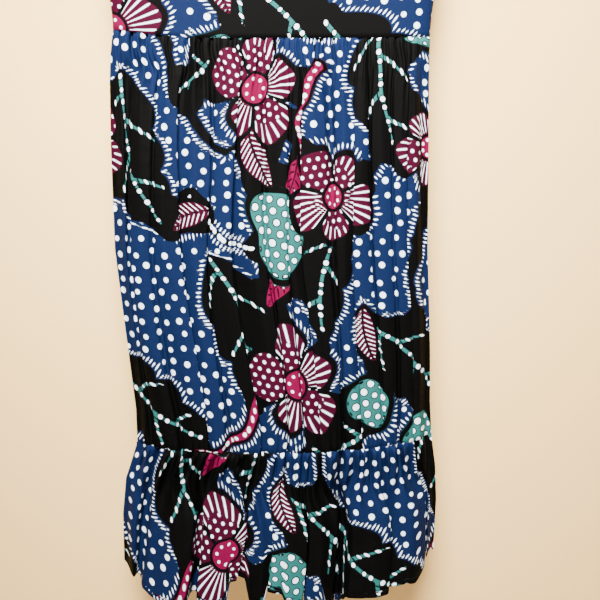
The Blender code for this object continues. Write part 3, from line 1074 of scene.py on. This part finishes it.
    def meander(
        self,
        folds: Folds,
        columns: int,
        drop: float,
        cut: float,
        width: float,
        parts: tuple[float, float, float],
    ) -> tuple[np.ndarray, np.ndarray]:
        """Folds a long section of cloth so that it spans a width.

        Args:
            folds: the panel's folds.
            columns: how many steps the section has.
            drop: how far down the section is.
            cut: the width of the cloth as cut.
            width: the width to span.
            parts: the shares of the folds, the gathers and the finest gathers.

        Returns:
            The places across, from 0, and the depths behind the crests.
        """
        turn, limit, edges = self.turning(folds, columns, drop, parts)
        step = cut / columns
        low, high = 0.0, self.most_gain
        for _ in range(self.halvings):
            gain = (low + high) / 2
            angle = limit * np.tanh(gain * turn / limit)
            if np.cos(angle).sum() * step > width:
                low = gain
            else:
                high = gain
        x = np.concatenate([[0.0], np.cumsum(np.cos(angle) * step)])
        depth = np.concatenate([[0.0], np.cumsum(np.sin(angle) * step)])
        share = np.linspace(0.0, 1.0, columns + 1)
        return x * width / x[-1], depth - np.interp(share, edges, np.interp(edges, share, depth))

    def section(
        self,
        folds: Folds,
        face: Face,
        cut: float,
        drop: float,
        columns: int,
        parts: tuple[float, float, float],
        loose: float = 1.0,
    ) -> tuple[np.ndarray, np.ndarray]:
        """One level section of a skirt panel.

        Args:
            folds: the panel's folds.
            face: front or back.
            cut: the width of the cloth as cut.
            drop: how far below the waist seam the section is.
            columns: how many steps it has.
            parts: the shares of the folds, the gathers and the finest gathers.
            loose: 0 where the cloth is sewn flat to the seam above, 1 where it hangs free.

        Returns:
            The places across, and the distances out from the side seams' plane.
        """
        left = float(np.interp(drop, self.drops, self.left))
        right = float(np.interp(drop, self.drops, self.right))
        x, depth = self.meander(folds, columns, drop, cut, left + right, parts)
        x = x - left
        across = np.where(x < 0, -x / left, x / right)
        roundness = float(np.interp(smoothstep(0.0, self.tier_length, drop), (0.0, 1.0), self.side_roundness))
        lateral = np.sqrt(np.clip(1.0 - np.clip(across, 0.0, 1.0) ** roundness, 0.0, 1.0))
        crest = float(np.interp(drop, self.crest_drops, self.crests[face])) * lateral
        ease = smoothstep(0.0, self.edge_ease, np.minimum(x + left, right - x))
        free = crest - depth
        hanging = 0.5 * (free + np.sqrt(free * free + (2 * self.least_offset) ** 2)) * ease
        sewn = np.maximum(crest + self.ripple(folds, columns, drop, cut, left + right) * ease, 0.0)
        return x, self.half_gap + loose * hanging + (1.0 - loose) * sewn

    def ripple(self, folds: Folds, columns: int, drop: float, cut: float, width: float) -> np.ndarray:
        """The low ripple of the gathers beside a seam, out from the seam's line.

        Args:
            folds: the panel's folds.
            columns: how many steps the section has.
            drop: how far down it is.
            cut: the width of the cloth as cut.
            width: the width that it spans.

        Returns:
            The ripple's height at each point.
        """
        _, depth = self.meander(folds, columns, drop, cut, width, (0.0, 1.0, 0.8))
        window = np.ones(self.ripple_window) / self.ripple_window
        smooth = np.convolve(np.pad(depth, self.ripple_window // 2, mode="edge"), window, mode="valid")
        return self.seam_ripple * (smooth - depth)


def fading(strength_and_reach: tuple[float, float], distance: float) -> float:
    """A strength that fades with the distance from a seam, over its reach."""
    strength, reach = strength_and_reach
    return strength * math.exp(-distance / reach)


def cloth_object(
    name: str, points: np.ndarray, flat: np.ndarray, outward_flip: bool, kept: np.ndarray | None = None
) -> bpy.types.Object:
    """Makes a cloth piece from a grid whose points are set by formula, with its flat places in a UV map.

    Args:
        name: the piece's name.
        points: row, column and coordinate of each point, in metres.
        flat: row, column and place on the flat cloth, in metres.
        outward_flip: whether the grid's faces must be turned over to point outwards.
        kept: which faces stay, by row and column; all of them if None.

    Returns:
        The piece.
    """
    rows, columns = points.shape[:2]
    bm = bmesh.new()
    bmesh.ops.create_grid(bm, x_segments=columns - 1, y_segments=rows - 1, size=1.0)
    if outward_flip:
        bmesh.ops.reverse_faces(bm, faces=bm.faces[:])
    if kept is not None:
        gone = []
        for face in bm.faces:
            centre = face.calc_center_median()
            c = int((centre.x + 1.0) / 2.0 * (columns - 1))
            r = int((centre.y + 1.0) / 2.0 * (rows - 1))
            if not kept[r, c]:
                gone.append(face)
        bmesh.ops.delete(bm, geom=gone, context="FACES")
    made = add_object(name, bm)
    mesh = made.data
    co = np.empty(len(mesh.vertices) * 3, dtype=np.float32)
    mesh.vertices.foreach_get("co", co)
    co = co.reshape(-1, 3)
    column = np.rint((co[:, 0] + 1.0) / 2.0 * (columns - 1)).astype(int)
    row = np.rint((co[:, 1] + 1.0) / 2.0 * (rows - 1)).astype(int)
    mesh.vertices.foreach_set("co", points[row, column].astype(np.float32).ravel())
    corner = np.empty(len(mesh.loops), dtype=np.int32)
    mesh.loops.foreach_get("vertex_index", corner)
    on_flat = flat[row, column]
    mesh.uv_layers.new(name="cloth").data.foreach_set("uv", on_flat[corner].astype(np.float32).ravel())
    fields = ClothPrint().fields(on_flat[:, 0] * MM, on_flat[:, 1] * MM)
    for attribute, keys in PrintFields.ATTRIBUTES.items():
        values = np.stack([getattr(fields, key) for key in keys], axis=-1).astype(np.float32)
        mesh.attributes.new(attribute, "FLOAT_VECTOR", "POINT").data.foreach_set("vector", values.ravel())
    mesh.shade_smooth()
    return made


def declare(piece: bpy.types.Object, node: str, cloth: bpy.types.Material, **sheet: object) -> None:
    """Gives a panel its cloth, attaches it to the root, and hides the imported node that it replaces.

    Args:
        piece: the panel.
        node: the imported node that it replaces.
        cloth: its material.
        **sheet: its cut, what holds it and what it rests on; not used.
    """
    piece.data.materials.append(cloth)
    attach(piece, "root")
    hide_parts(node)
    LOG.info("%s: %d faces", piece.name, len(piece.data.polygons))


@dataclass(frozen=True)
class Stitching:
    """A row of topstitching: small raised stitches that follow a line on the cloth."""

    pitch: float = 0.0034
    length: float = 0.0024
    width: float = 0.0005
    height: float = 0.0004
    thread: SpunThread = field(default_factory=SpunThread)

    def sew(self, name: str, grid: np.ndarray, lines: list[np.ndarray]) -> bpy.types.Object:
        """Sews along lines of a panel's grid.

        Args:
            name: the piece's name.
            grid: row, column and coordinate of the panel's points.
            lines: for each line, the row and column numbers it passes through.

        Returns:
            All the stitches as one piece.
        """
        down, along = np.gradient(grid, axis=0), np.gradient(grid, axis=1)
        normals = np.cross(along, down)
        normals = normals / np.linalg.norm(normals, axis=-1, keepdims=True)
        normals = normals * np.sign((normals * grid)[..., 1:2].sum())
        bm = bmesh.new()
        for line in lines:
            path, out = grid[line[:, 0], line[:, 1]], normals[line[:, 0], line[:, 1]]
            run = np.concatenate([[0.0], np.cumsum(np.linalg.norm(np.diff(path, axis=0), axis=1))])
            for at in np.arange(self.pitch, run[-1] - self.pitch, self.pitch):
                start, end, normal = (
                    np.array([np.interp(place, run, values[:, k]) for k in range(3)])
                    for place, values in ((at, path), (at + self.length, path), (at, out))
                )
                ahead = (end - start) / max(float(np.linalg.norm(end - start)), 1e-6)
                normal = normal - ahead * float(normal @ ahead)
                normal = normal / np.linalg.norm(normal)
                side = np.cross(normal, ahead)
                sizes = (ahead * self.length, side * self.width, normal * self.height, start + end)
                stitch = Matrix.Identity(4)
                for k, size in enumerate(sizes):
                    stitch.col[k][:3] = size / 2
                bmesh.ops.create_icosphere(bm, subdivisions=1, radius=1.0, matrix=stitch)
        made = add_object(name, bm)
        made.data.materials.append(self.thread.material("sewing thread"))
        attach(made, "root")
        LOG.info("%s: %d faces", name, len(made.data.polygons))
        return made


@dataclass(frozen=True)
class SkirtPanel:
    """A gathered panel of the skirt: its folds, its grid and the place of its cloth on the print's repeat."""

    face: Face
    folds: Folds
    columns: int
    rows: int
    print_at: tuple[float, float]


@dataclass(frozen=True)
class Skirt:
    """The tier and the flounce, front and back."""

    form: SkirtForm = field(default_factory=SkirtForm)
    stitching: Stitching = field(default_factory=Stitching)
    seam_pinch: float = 0.0014
    hem_turn: float = 0.008
    hem_rise: float = 0.007
    waist_gather: float = 0.95
    waist_fine: tuple[float, float] = (1.15, 0.028)
    low_fine: tuple[float, float] = (0.40, 0.018)
    flounce_fine: tuple[float, float] = (0.7, 0.018)
    pinch_reach: float = 0.003
    freed_reach: float = 0.0035
    wave_height: float = 1.4
    puff: tuple[float, float] = (0.0030, 0.030)
    hem_fold: tuple[tuple[float, float], ...] = ((0.0006, 0.0), (0.0009, 0.0015))
    hem_inset: float = 0.0008
    hem_places: tuple[float, ...] = (
        -0.200, -0.172, -0.150, -0.120, -0.112, -0.066, -0.060, -0.040, -0.034, -0.013,
        -0.008, 0.012, 0.018, 0.066, 0.074, 0.094, 0.102, 0.190, 0.203, 0.225,
    )
    hem_rises: tuple[float, ...] = (
        0.000, -0.010, -0.010, -0.004, -0.006, 0.000, 0.030, 0.032, 0.000, 0.000,
        0.020, 0.016, 0.000, 0.000, -0.026, -0.026, 0.000, 0.000, -0.012, -0.014,
    )
    tiers: tuple[SkirtPanel, ...] = (
        SkirtPanel(
            Face.FRONT,
            Folds(
                share=(33, 27, 30, 25, 36, 27, 15, 20, 28, 20, 20, 18, 16, 14),
                strength=(
                    0.80, 0.75, 1.35, 0.75, 1.50, 0.90, 0.90,
                    1.50, 0.80, 1.30, 0.85, 0.85, 1.20, 0.75,
                ),
                gathers=2,
                tuck=0.21,
                lapped=1.15,
            ),
            columns=392,
            rows=252,
            print_at=(0.020, 0.010),
        ),
        SkirtPanel(
            Face.BACK,
            Folds(
                share=(34, 46, 36, 50, 38, 54, 42, 48, 36, 34),
                strength=(0.75, 1.20, 0.80, 1.30, 0.85, 1.35, 0.80, 1.15, 0.90, 0.80),
                gathers=2,
                tuck=0.21,
                lapped=1.25,
            ),
            columns=320,
            rows=220,
            print_at=(0.330, 0.170),
        ),
    )
    flounces: tuple[SkirtPanel, ...] = (
        SkirtPanel(
            Face.FRONT,
            Folds(
                share=(42, 50, 38, 24, 33, 48, 41, 37),
                strength=(0.75, 0.60, 1.45, 1.20, 1.05, 0.65, 1.40, 1.10),
                gathers=3,
                tuck=0.25,
                lapped=1.15,
            ),
            columns=500,
            rows=104,
            print_at=(0.120, 0.330),
        ),
        SkirtPanel(
            Face.BACK,
            Folds(
                share=(46, 56, 36, 50, 40, 58, 44, 48),
                strength=(0.80, 1.10, 0.80, 1.30, 0.90, 1.20, 0.85, 1.00),
                gathers=3,
                tuck=0.25,
            ),
            columns=400,
            rows=90,
            print_at=(0.480, 0.050),
        ),
    )

    def build(self, cloth: bpy.types.Material) -> list[bpy.types.Object]:
        """Builds the four panels.

        Args:
            cloth: the printed cloth's material.

        Returns:
            The panels.
        """
        made = []
        for tier, flounce in zip(self.tiers, self.flounces):
            word = tier.face.name.lower()
            upper, edge = self._tier(tier, f"skirt_{word}_cloth")
            lower = self._flounce(flounce, f"flounce_{word}_cloth", edge)
            tier_flat = (self.form.tier_cut, self.form.tier_length)
            flounce_flat = (self.form.flounce_cut, self.form.flounce_length + self.hem_turn)
            for piece, flat, above in (
                (upper, tier_flat, f"bodice_{word}_cloth"),
                (lower, flounce_flat, upper.name),
            ):
                node = piece.name.replace("_cloth", "")
                declare(piece, node, cloth, flat=flat, held="gathered", rests_on=[above])
                made.append(piece)
        return made

    def _finish(
        self, panel: SkirtPanel, name: str, rows: list[tuple[np.ndarray, ...]], cut: float
    ) -> tuple[bpy.types.Object, np.ndarray]:
        """Turns the rows of a panel into its piece.

        Args:
            panel: the panel.
            name: the piece's name.
            rows: for each row, the places across, out and up, and the place down the cloth.
            cut: the width of the cloth as cut.

        Returns:
            The piece, and the grid of its points.
        """
        x, away, z, down = (np.stack([row[k] for row in rows]) for k in range(4))
        z = z + self.form.hang(x, z)
        points = np.stack([x, panel.face.value * away, z], axis=-1)
        along = np.linspace(0.0, cut, panel.columns + 1)[None, :] + np.zeros_like(x)
        flat = np.stack([along + panel.print_at[0], down + panel.print_at[1]], axis=-1)
        return cloth_object(name, points, flat, panel.face is Face.FRONT), points

    def _tier(self, panel: SkirtPanel, name: str) -> tuple[bpy.types.Object, tuple[np.ndarray, np.ndarray]]:
        """Builds a tier panel.

        Args:
            panel: the panel.
            name: the piece's name.

        Returns:
            The piece, and the places across and out of its lower edge.
        """
        form = self.form
        rows = []
        edge = (np.zeros(1), np.zeros(1))
        share = np.linspace(0.0, 1.0, panel.rows + 1)
        for drop in form.tier_length * (share - 0.10 * np.sin(math.tau * share) / math.pi):
            fall = max(drop - form.seam_strip, 0.0)
            to_seam = form.tier_length - drop
            gather = math.exp(-fall / form.gather_fade) * self.waist_gather
            fine = fading(self.waist_fine, fall) + fading(self.low_fine, to_seam)
            grown = 0.10 + 0.90 * float(smoothstep(0.0, form.fold_growth, fall))
            loose = float(smoothstep(0.0, form.seam_reach, fall))
            x, away = form.section(
                panel.folds, panel.face, form.tier_cut, drop, panel.columns, (grown, gather, fine), loose
            )
            at_seams = sum(math.exp(-((far / self.pinch_reach) ** 2)) for far in (drop, to_seam))
            away = np.maximum(away - self.seam_pinch * at_seams, form.half_gap)
            edge = (x, away)
            rows.append((x, away, np.full_like(x, form.waist_z - drop), np.full_like(x, drop)))
        return self._finish(panel, name, rows, form.tier_cut)[0], edge

    def _flounce_row(
        self, panel: SkirtPanel, fall: float, edge: tuple[np.ndarray, np.ndarray]
    ) -> tuple[np.ndarray, ...]:
        """One row of a flounce panel: sewn along the tier's edge at the top, in its own folds further down.

        Args:
            panel: the panel.
            fall: how far below the tier's edge the row is.
            edge: the places across and out of the tier's lower edge.

        Returns:
            The places across, out and up, and the place down the cloth.
        """
        form, cut, columns = self.form, self.form.flounce_cut, panel.columns
        below = max(fall - form.seam_strip, 0.0)
        gather = math.exp(-below / form.gather_fade)
        fine = fading(self.flounce_fine, below)
        own = float(smoothstep(0.0, form.flounce_growth, below))
        drop = form.tier_length + max(fall, form.seam_strip)
        parts = (0.15 + 0.85 * own, gather, fine)
        x, away = form.section(panel.folds, panel.face, cut, drop, columns, parts)
        share = np.linspace(0.0, 1.0, columns + 1)
        seam_share = np.linspace(0.0, 1.0, len(edge[0]))
        on_seam = np.interp(share, seam_share, edge[1])
        x_seam = np.interp(share, seam_share, edge[0])
        stretch = (x[-1] - x[0]) / (x_seam[-1] - x_seam[0])
        x = (1.0 - own) * (x[0] + (x_seam - x_seam[0]) * stretch) + own * x
        ease = smoothstep(0.0, form.edge_ease, np.minimum(x - x[0], x[-1] - x))
        freed = 1.0 - math.exp(-fall / self.freed_reach)
        waves = self.wave_height * form.ripple(panel.folds, columns, drop, cut, x[-1] - x[0])
        puff = self.seam_pinch + fading(self.puff, fall) + form.seam_puff
        sewn = np.maximum(on_seam + (waves + puff) * freed * ease, form.half_gap)
        away = (1.0 - own) * sewn + own * away
        low = fall / form.flounce_length
        rise = self.hem_rise * low**3 * (1.0 - away / away.max()) * ease
        if panel.face is Face.FRONT:
            rise = rise + low**4 * np.interp(x, self.hem_places, self.hem_rises)
        z = form.waist_z - form.tier_length - fall + rise
        return x, away, z, np.full_like(x, fall)

    def _flounce(
        self, panel: SkirtPanel, name: str, edge: tuple[np.ndarray, np.ndarray]
    ) -> bpy.types.Object:
        """Builds a flounce panel under a tier's lower edge, with its narrow hem turned up inside.

        Args:
            panel: the panel.
            name: the piece's name.
            edge: the places across and out of the tier's lower edge.

        Returns:
            The piece.
        """
        form = self.form
        falls = form.flounce_length * np.linspace(0.0, 1.0, panel.rows + 1) ** 1.15
        rows = [self._flounce_row(panel, float(fall), edge) for fall in falls]
        x, away, z, _ = rows[-1]
        hem_row = int(np.searchsorted(falls, form.flounce_length - self.hem_turn))
        for inward, up in (*self.hem_fold, (self.hem_inset, self.hem_turn)):
            back = np.maximum(away - inward, form.half_gap)
            rows.append((x, back, z + up, np.full_like(x, form.flounce_length + up)))
        made, grid = self._finish(panel, name, rows, form.flounce_cut)
        columns = np.arange(panel.columns + 1)
        line = np.stack([np.full(len(columns), hem_row), columns], axis=-1)
        self.stitching.sew(name.replace("cloth", "hem_stitches"), grid, [line])
        return made


@dataclass(frozen=True)
class Bodice:
    """The flat upper part: plain, sleeveless, with a round neck, over the hanger's arms."""

    form: SkirtForm = field(default_factory=SkirtForm)
    neck_half: float = 0.085
    shoulder_half: float = 0.175
    underarm_half: float = 0.228
    armhole_half: float = 0.170
    armhole_depth: float = 0.205
    neck_row: float = 0.95
    depths: dict[Face, float] = field(default_factory=lambda: {Face.FRONT: 0.013, Face.BACK: 0.012})
    neck_drops: dict[Face, float] = field(default_factory=lambda: {Face.FRONT: 0.120, Face.BACK: 0.050})
    bar_apex: float = -0.070
    bar_slope: float = 0.36
    bar_round: float = 0.030
    bar_half_thick: float = 0.006
    shoulder_gap: float = 0.0004
    cloth_thickness: float = 0.0006
    seam_pinch: float = 0.0014
    pinch_reach: float = 0.0025
    edge_rows: int = 3
    stitching: Stitching = field(default_factory=Stitching)
    cut: tuple[float, float] = (0.456, 0.402)
    cut_area: float = 0.146
    drape_height: float = 0.40
    print_at: dict[Face, tuple[float, float]] = field(
        default_factory=lambda: {Face.FRONT: (0.560, 0.470), Face.BACK: (0.240, 0.300)}
    )
    neck_columns: int = 109
    arm_columns: int = 48
    lower_rows: int = 148
    upper_rows: int = 16

    def bar_top(self, x: np.ndarray) -> np.ndarray:
        """Height of the hanger bar's top edge."""
        return self.bar_apex - self.bar_slope * (np.sqrt(x * x + self.bar_round**2) - self.bar_round)

    def underarm(self) -> float:
        """Height of the underarm, below the shoulder's tip."""
        return float(self.bar_top(np.array(self.shoulder_half))) - self.armhole_depth

    def half_width(self, z: np.ndarray) -> np.ndarray:
        """Half width of the bodice by height: straight side, armhole, shoulder tip.

        Args:
            z: heights.

        Returns:
            The half width at each.
        """
        waist, underarm = self.form.waist_half, self.underarm()
        side = waist + (self.underarm_half - waist) * smoothstep(self.form.waist_z, underarm, z)
        up = np.clip((z - underarm) / self.armhole_depth, 0.0, 1.0)
        armhole = (
            self.armhole_half
            + (self.underarm_half - self.armhole_half) * (1.0 - up) ** 3
            + (self.shoulder_half - self.armhole_half) * up**2
        )
        return np.where(z <= underarm, side, armhole)

    def build(self, cloth: bpy.types.Material) -> list[bpy.types.Object]:
        """Builds both panels.

        Args:
            cloth: the printed cloth's material.

        Returns:
            The panels.
        """
        made = []
        for face in Face:
            word = face.name.lower()
            piece = self._panel(face, f"bodice_{word}_cloth")
            wall = piece.modifiers.new("cloth thickness", "SOLIDIFY")
            wall.thickness = self.cloth_thickness
            wall.offset = -1.0
            on_bar = {"held": "hung", "rests_on": ["hanger_bar"], "area": self.cut_area}
            declare(piece, f"bodice_{word}", cloth, flat=self.cut, **on_bar)
            made.append(piece)
        return made

    def _columns(self) -> tuple[np.ndarray, np.ndarray]:
        """The panel's columns, close together where the neckline turns up.

        Returns:
            Their places across as shares of the half width, and which of them end at the neckline.
        """
        share = self.neck_half / self.shoulder_half
        neck = share * np.sin(np.radians(np.linspace(-90.0, 90.0, self.neck_columns)))
        arm = share + (1.0 - share) * np.arange(1, self.arm_columns + 1) / self.arm_columns
        across = np.concatenate([-arm[::-1], neck, arm])
        return across, np.abs(across) < share - 1e-6

    def _heights(self, face: Face, across: np.ndarray, in_neck: np.ndarray) -> tuple[np.ndarray, np.ndarray]:
        """The panel's rows, from the waist seam to the neckline and the shoulders.

        Args:
            face: front or back.
            across: the columns' places across.
            in_neck: which columns end at the neckline.

        Returns:
            The rows' places as shares of the height, and the height of each of the grid's points.
        """
        bottom = self.form.waist_z
        point = float(self.bar_top(np.array(self.neck_half))) + self.shoulder_gap
        shoulder = self.bar_top(across * self.shoulder_half) + self.shoulder_gap
        start = (1.0 - self.neck_row) * (point - bottom)
        inside = np.clip(np.abs(across) * self.shoulder_half / self.neck_half, 0.0, 1.0)
        neckline = point - start - (self.neck_drops[face] - start) * np.sqrt(1.0 - inside**2)
        top = np.where(in_neck, neckline, shoulder)
        lower = np.concatenate([[0.0, 0.002, 0.005], np.linspace(0.010, self.neck_row, self.lower_rows)])
        quarter = np.radians(np.linspace(0.0, 90.0, self.upper_rows + 1)[1:])
        up = np.concatenate([lower, self.neck_row + (1.0 - self.neck_row) * np.sin(quarter)])
        part = np.where(in_neck[None, :], np.minimum(up / self.neck_row, 1.0)[:, None], up[:, None])
        return up, bottom + part * (top - bottom)[None, :]

    def _away(self, face: Face, across: np.ndarray, x: np.ndarray, z: np.ndarray) -> np.ndarray:
        """How far the cloth stands out: rounded over the bar, full below it, and in at the sewn edges.

        Args:
            face: front or back.
            across: the columns' places across.
            x: the points' places across.
            z: their heights.

        Returns:
            The distance of each from the plane of the side seams.
        """
        underarm = self.underarm()
        round_over = self.bar_half_thick + self.shoulder_gap
        below = np.clip(self.bar_top(x) + self.shoulder_gap - z, 0.0, None)
        over_bar = np.sqrt(1.0 - (1.0 - np.clip(below / round_over, 0.0, 1.0)) ** 2)
        fullness = round_over + (self.depths[face] - round_over) * smoothstep(round_over, 0.150, below)
        sewn = 1.0 - smoothstep(underarm, underarm + 0.050, z)
        rounded = np.sqrt(np.clip(1.0 - np.abs(across[None, :]) ** 6, 0.0, 1.0))
        away = over_bar * fullness * (1.0 - (1.0 - rounded) * sewn)
        away = away + self._drape(x, z, face) * smoothstep(0.0, 0.03, below) * (1.0 - np.abs(across) ** 8)
        away = away - self.seam_pinch * np.exp(-(((z - self.form.waist_z) / self.pinch_reach) ** 2))
        return self.form.half_gap + np.maximum(away, 0.0)

    def _panel(self, face: Face, name: str) -> bpy.types.Object:
        """Builds one panel, and sews round its neck and its armholes.

        Args:
            face: front or back.
            name: the piece's name.

        Returns:
            The piece.
        """
        across, in_neck = self._columns()
        up, z = self._heights(face, across, in_neck)
        x = across[None, :] * self.half_width(z)
        y = face.value * self._away(face, across, x, z)
        points = np.stack([x, y, z + self.form.hang(x, z)], axis=-1)
        at = self.print_at[face]
        flat = np.stack([x + at[0], self.form.waist_z - z + at[1]], axis=-1)
        neck_top = len(up) - 1 - self.upper_rows
        kept = np.ones((len(up) - 1, len(across) - 1), dtype=bool)
        kept[neck_top:, in_neck[:-1] | in_neck[1:]] = False
        columns = np.nonzero(in_neck)[0]
        rows = np.nonzero((z[:, 0] > self.underarm()) & (up < 0.99))[0]
        lines = [np.stack([np.full(len(columns), neck_top - self.edge_rows), columns], axis=-1)]
        for column in (self.edge_rows, len(across) - 1 - self.edge_rows):
            lines.append(np.stack([rows, np.full(len(rows), column)], axis=-1))
        self.stitching.sew(name.replace("cloth", "edge_stitches"), points, lines)
        return cloth_object(name, points, flat, face is Face.BACK, kept)

    def _drape(self, x: np.ndarray, z: np.ndarray, face: Face) -> np.ndarray:
        """Soft hanging folds in the flat cloth, and a faint crease above the waist.

        Args:
            x: places across.
            z: heights.
            face: front or back, whose folds lie in other places.

        Returns:
            How far out the cloth stands at each point.
        """
        shift = 0.0 if face is Face.FRONT else 0.9
        rise = (z - self.form.waist_z) / self.drape_height
        folds = 0.0016 * np.sin(31.0 * x + 2.0 * rise + shift) * np.sin(math.pi * np.clip(rise, 0.0, 1.0))
        pull = 0.0012 * np.sin(58.0 * (np.abs(x) + 0.35 * z) + 1.7 * shift)
        pull = pull * smoothstep(0.05, 0.18, np.abs(x)) * np.exp(-((rise - 0.6) ** 2) * 9.0)
        crease = 0.0010 * np.exp(-(((x + 0.100) / 0.006) ** 2)) * np.clip(1.0 - 3.0 * rise, 0.0, 1.0)
        return folds + pull - crease


# The stage


@dataclass(frozen=True)
class Studio:
    """The photographer's place: camera, wall, floor and soft light."""

    metres_per_pixel: float = 0.0014
    pixels: int = 600
    distance: float = 1.0
    camera_x: float = 0.0375
    aim_z: float = -0.8385
    tilt: float = math.radians(9)
    sensor: float = 36.0
    wall_y: float = 0.075
    wall_z: float = -0.6
    wall_size: tuple[float, float] = (3.2, 3.6)
    floor_z: float = -1.78
    floor_size: tuple[float, float] = (6.0, 6.0)
    glow: str = "F2EADF"
    glow_strength: float = 0.13

    def camera(self) -> None:
        """Sets the camera in front of the dress, above its middle and looking slightly down at it."""
        data = bpy.data.cameras.new("view of the dress")
        data.sensor_width = self.sensor
        data.lens = self.sensor * self.distance / (self.metres_per_pixel * self.pixels)
        made = bpy.data.objects.new("view of the dress", data)
        back, up = self.distance * math.cos(self.tilt), self.distance * math.sin(self.tilt)
        made.location = (self.camera_x, -back, self.aim_z + up)
        made.rotation_euler = (math.pi / 2 - self.tilt, 0.0, 0.0)
        bpy.context.scene.collection.objects.link(made)
        bpy.context.scene.camera = made

    def room(self) -> None:
        """Adds the wall behind the dress and the floor below it."""
        upright = Matrix.Rotation(math.pi / 2, 4, "X")
        behind = Matrix.Translation((0.0, self.wall_y, self.wall_z)) @ upright
        below = Matrix.Translation((0.0, 0.0, self.floor_z))
        for name, size, place, finish in (
            ("wall", self.wall_size, behind, PaintedWall().material("cream wall paint")),
            ("floor", self.floor_size, below, PaleFloor().material("pale floor")),
        ):
            bm = bmesh.new()
            bmesh.ops.create_grid(bm, x_segments=2, y_segments=2, size=0.5)
            bmesh.ops.scale(bm, vec=(*size, 1.0), verts=bm.verts[:])
            bmesh.ops.transform(bm, matrix=place, verts=bm.verts[:])
            made = add_object(name, bm)
            made.data.materials.append(finish)

    def lights(self) -> None:
        """Adds soft light from the front and above, a fill, and light for the back of the dress."""
        world = bpy.context.scene.world or bpy.data.worlds.new("room")
        bpy.context.scene.world = world
        world.use_nodes = True
        back = world.node_tree.nodes.get("Background") or add_node(world.node_tree, "Background")
        feed(world.node_tree, back, {"Color": linear(self.glow), "Strength": self.glow_strength})
        for name, place, aim, size, watts, tint, spread in (
            ("ceiling light", (-0.12, -1.15, 0.72), (0.02, 0.0, -0.38), 0.95, 56.0, "FDFAF5", 66),
            ("room fill", (1.2, -1.8, 0.1), (0.0, 0.0, -0.7), 1.4, 8.0, "FFF4E6", 180),
            ("floor bounce", (0.05, -0.75, -1.70), (0.03, 0.05, -1.22), 0.9, 3.0, "F1F3FF", 120),
            ("back window", (-0.6, 2.0, 0.3), (0.0, 0.0, -0.7), 1.4, 150.0, "FFF6EA", 180),
        ):
            data = bpy.data.lights.new(name, "AREA")
            data.size = size
            data.energy = watts
            data.spread = math.radians(spread)
            data.color = linear(tint)[:3]
            made = bpy.data.objects.new(name, data)
            made.location = place
            bpy.context.scene.collection.objects.link(made)
            made.rotation_mode = "QUATERNION"
            direction = made.location.copy()
            direction.x, direction.y, direction.z = (a - p for a, p in zip(aim, place))
            made.rotation_quaternion = direction.to_track_quat("-Z", "Y")


@dataclass(frozen=True)
class Hanger:
    """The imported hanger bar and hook, with their real finishes."""

    wood: VarnishedBeech = field(default_factory=VarnishedBeech)
    wire: PlatedWire = field(default_factory=PlatedWire)

    def dress(self) -> None:
        """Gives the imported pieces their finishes."""
        for node, made in (
            ("hanger_bar", self.wood.material("varnished beech")),
            ("hanger_hook", self.wire.material("nickel plated wire")),
        ):
            for slot in bpy.data.objects[node].material_slots:
                slot.material = made
            LOG.info("%s: %s", node, made.name)


def main() -> None:
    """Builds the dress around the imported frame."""
    logging.basicConfig(level=logging.INFO, format="%(name)s %(message)s")
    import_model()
    studio = Studio()
    studio.camera()
    studio.room()
    studio.lights()
    cloth = PrintedViscose().material("printed viscose")
    Bodice().build(cloth)
    Skirt().build(cloth)
    Hanger().dress()


if __name__ == "__main__":
    main()
